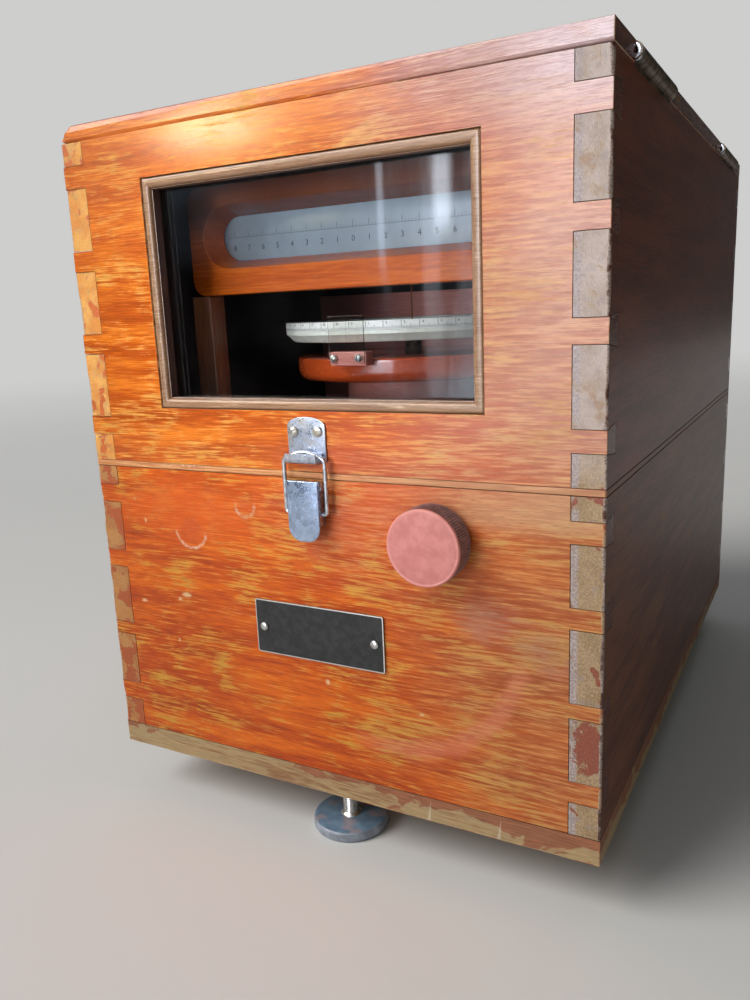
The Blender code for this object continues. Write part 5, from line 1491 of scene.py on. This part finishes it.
area("key", (-640.0, -620.0, 840.0), (0.0, 0.0, 220.0), 0.62, 2.0, (1.0, 0.955, 0.88))
inside = area("window_fill", (-170.0, -720.0, 268.0), (0.0, 90.0, 268.0), 0.20, 0.14, (1.0, 0.98, 0.94), spread=30.0)
inside.visible_glossy = False
inside.visible_transmission = False
sun = bpy.data.lights.new("soft_sun", "SUN")
sun.energy = 1.9
sun.angle = rad(38.0)
sun.color = (1.0, 0.975, 0.94)
sunob = bpy.data.objects.new("soft_sun", sun)
scene.collection.objects.link(sunob)
sunob.rotation_euler = Vector((0.52, 0.56, -0.64)).to_track_quat("-Z", "Y").to_euler()

# a studio card standing off to the left: only polished surfaces see it
PALE = (0.615, 0.615, 0.61)
bm = bmesh.new()
bm.faces.new([bm.verts.new(P(x, -1250.0, z)) for x, z in ((-1900.0, -30.5), (150.0, -30.5), (150.0, 1150.0), (-1900.0, 1150.0))])
card = bpy.data.objects.new("reflection_card", mesh_from(bm, "reflection_card"))
scene.collection.objects.link(card)
for flag in ("visible_camera", "visible_diffuse", "visible_shadow", "visible_volume_scatter"):
    setattr(card, flag, False)
g = G("reflection_card")
cloud = g.noise((0.0030, 0.0030, 0.0045), 3.0, 0.55, (2, 1, 7))
trees = g.noise((0.022, 0.022, 0.0026), 3.0, 0.6, (5, 1, 2))
haze = g.mul(g.step(g.z, 330.0, 600.0), g.step(cloud, 0.38, 0.66, 0.05, 0.42))
column = g.mul(g.step(g.x, -720.0, -430.0), g.mul(g.step(trees, 0.42, 0.64, 0.10, 1.6), g.step(g.z, -30.0, 160.0, 0.75, 1.0)))
column = g.add(column, g.mul(g.step(g.ab(g.add(g.x, 622.0)), 3.0, 12.0, 1.0, 0.0), g.mul(g.step(g.z, 300.0, 450.0), 3.2)))
column = g.add(column, g.mul(g.mul(g.step(g.ab(g.add(g.x, 482.0)), 6.0, 30.0, 1.0, 0.0), g.step(g.ab(g.sub(g.z, 500.0)), 40.0, 110.0, 1.0, 0.0)), 7.0))
column = g.add(column, g.mul(g.mul(g.step(g.add(g.x, g.mul(g.z, -0.9)), -700.0, -520.0), g.step(g.z, 190.0, 110.0)), 1.7))
column = g.add(column, g.mul(g.step(g.x, -400.0, -230.0), g.step(g.z, -30.0, 640.0, 2.0, 11.0)))
lamp = g.mul(g.mul(g.step(g.ab(g.add(g.x, 1040.0)), 30.0, 220.0, 1.0, 0.0), g.step(g.ab(g.sub(g.z, 682.0)), 8.0, 54.0, 1.0, 0.0)), 50.0)
lamp = g.add(lamp, g.mul(g.mul(g.step(g.ab(g.add(g.x, 930.0)), 80.0, 480.0, 1.0, 0.0), g.step(g.ab(g.sub(g.z, 700.0)), 10.0, 98.0, 1.0, 0.0)), 4.5))
em = g.t.nodes.new("ShaderNodeEmission")
g.put(em.inputs["Color"], g.mix(g.step(lamp, 0.3, 3.0), g.mix(g.step(g.x, -900.0, -500.0), (0.72, 0.84, 1.0), (0.86, 0.91, 1.0)), (1.0, 0.86, 0.52)))
g.put(em.inputs["Strength"], g.add(0.004, g.add(haze, g.add(column, lamp))))
g.link(em.outputs[0], g.out.inputs["Surface"])
card.data.materials.append(g.m)

# and a dark flag to the right, so the far side stays deep
bm = bmesh.new()
bm.faces.new([bm.verts.new(P(950.0, y, z)) for y, z in ((-500.0, -30.5), (-500.0, 3200.0), (9000.0, 3200.0), (9000.0, -30.5))])
flagob = bpy.data.objects.new("dark_flag", mesh_from(bm, "dark_flag"))
scene.collection.objects.link(flagob)
for flag in ("visible_camera", "visible_shadow", "visible_transmission", "visible_volume_scatter"):
    setattr(flagob, flag, False)
g = G("dark_flag")
g.bsdf(g.mix(g.noise(0.01, 2.0, 0.5), (0.030, 0.034, 0.026), (0.050, 0.055, 0.042)), 0.9, 0.0, None, spec=0.05)
flagob.data.materials.append(g.m)

bm = bmesh.new()
bmesh.ops.create_circle(bm, cap_ends=True, segments=96, radius=14.0, matrix=Matrix.Translation((0, 0, 0)))
floor = bpy.data.objects.new("floor", mesh_from(bm, "floor"))
scene.collection.objects.link(floor)
g = G("floor_pale")
fn = g.noise(0.002, 3.0, 0.5)
near = g.bsdf(g.mix(fn, (0.70, 0.70, 0.69), (0.76, 0.76, 0.75)), 0.75, 0.0, None, spec=0.2)
far = g.t.nodes.new("ShaderNodeEmission")
far.inputs["Color"].default_value = (*PALE, 1.0)
fade = g.t.nodes.new("ShaderNodeMixShader")
g.put(fade.inputs[0], g.step(g.math("SQRT", g.add(g.mul(g.x, g.x), g.mul(g.y, g.y))), 900.0, 5000.0))
g.link(near.outputs[0], fade.inputs[1])
g.link(far.outputs[0], fade.inputs[2])
g.link(fade.outputs[0], g.out.inputs["Surface"])
floor.data.materials.append(g.m)

world = bpy.data.worlds.new("studio")
scene.world = world
world.use_nodes = True
wt = world.node_tree
wt.nodes.clear()
wo = wt.nodes.new("ShaderNodeOutputWorld")
b1 = wt.nodes.new("ShaderNodeBackground")
b1.inputs["Color"].default_value = (*PALE, 1.0)
b1.inputs["Strength"].default_value = 1.0
b2 = wt.nodes.new("ShaderNodeBackground")
b2.inputs["Color"].default_value = (0.80, 0.82, 0.85, 1.0)
b2.inputs["Strength"].default_value = 0.38
lp = wt.nodes.new("ShaderNodeLightPath")
mx = wt.nodes.new("ShaderNodeMixShader")
wt.links.new(lp.outputs["Is Camera Ray"], mx.inputs[0])
wt.links.new(b2.outputs[0], mx.inputs[1])
wt.links.new(b1.outputs[0], mx.inputs[2])
wt.links.new(mx.outputs[0], wo.inputs["Surface"])

scene.view_settings.view_transform = "Standard"
scene.view_settings.look = "None"
scene.view_settings.exposure = 0.0
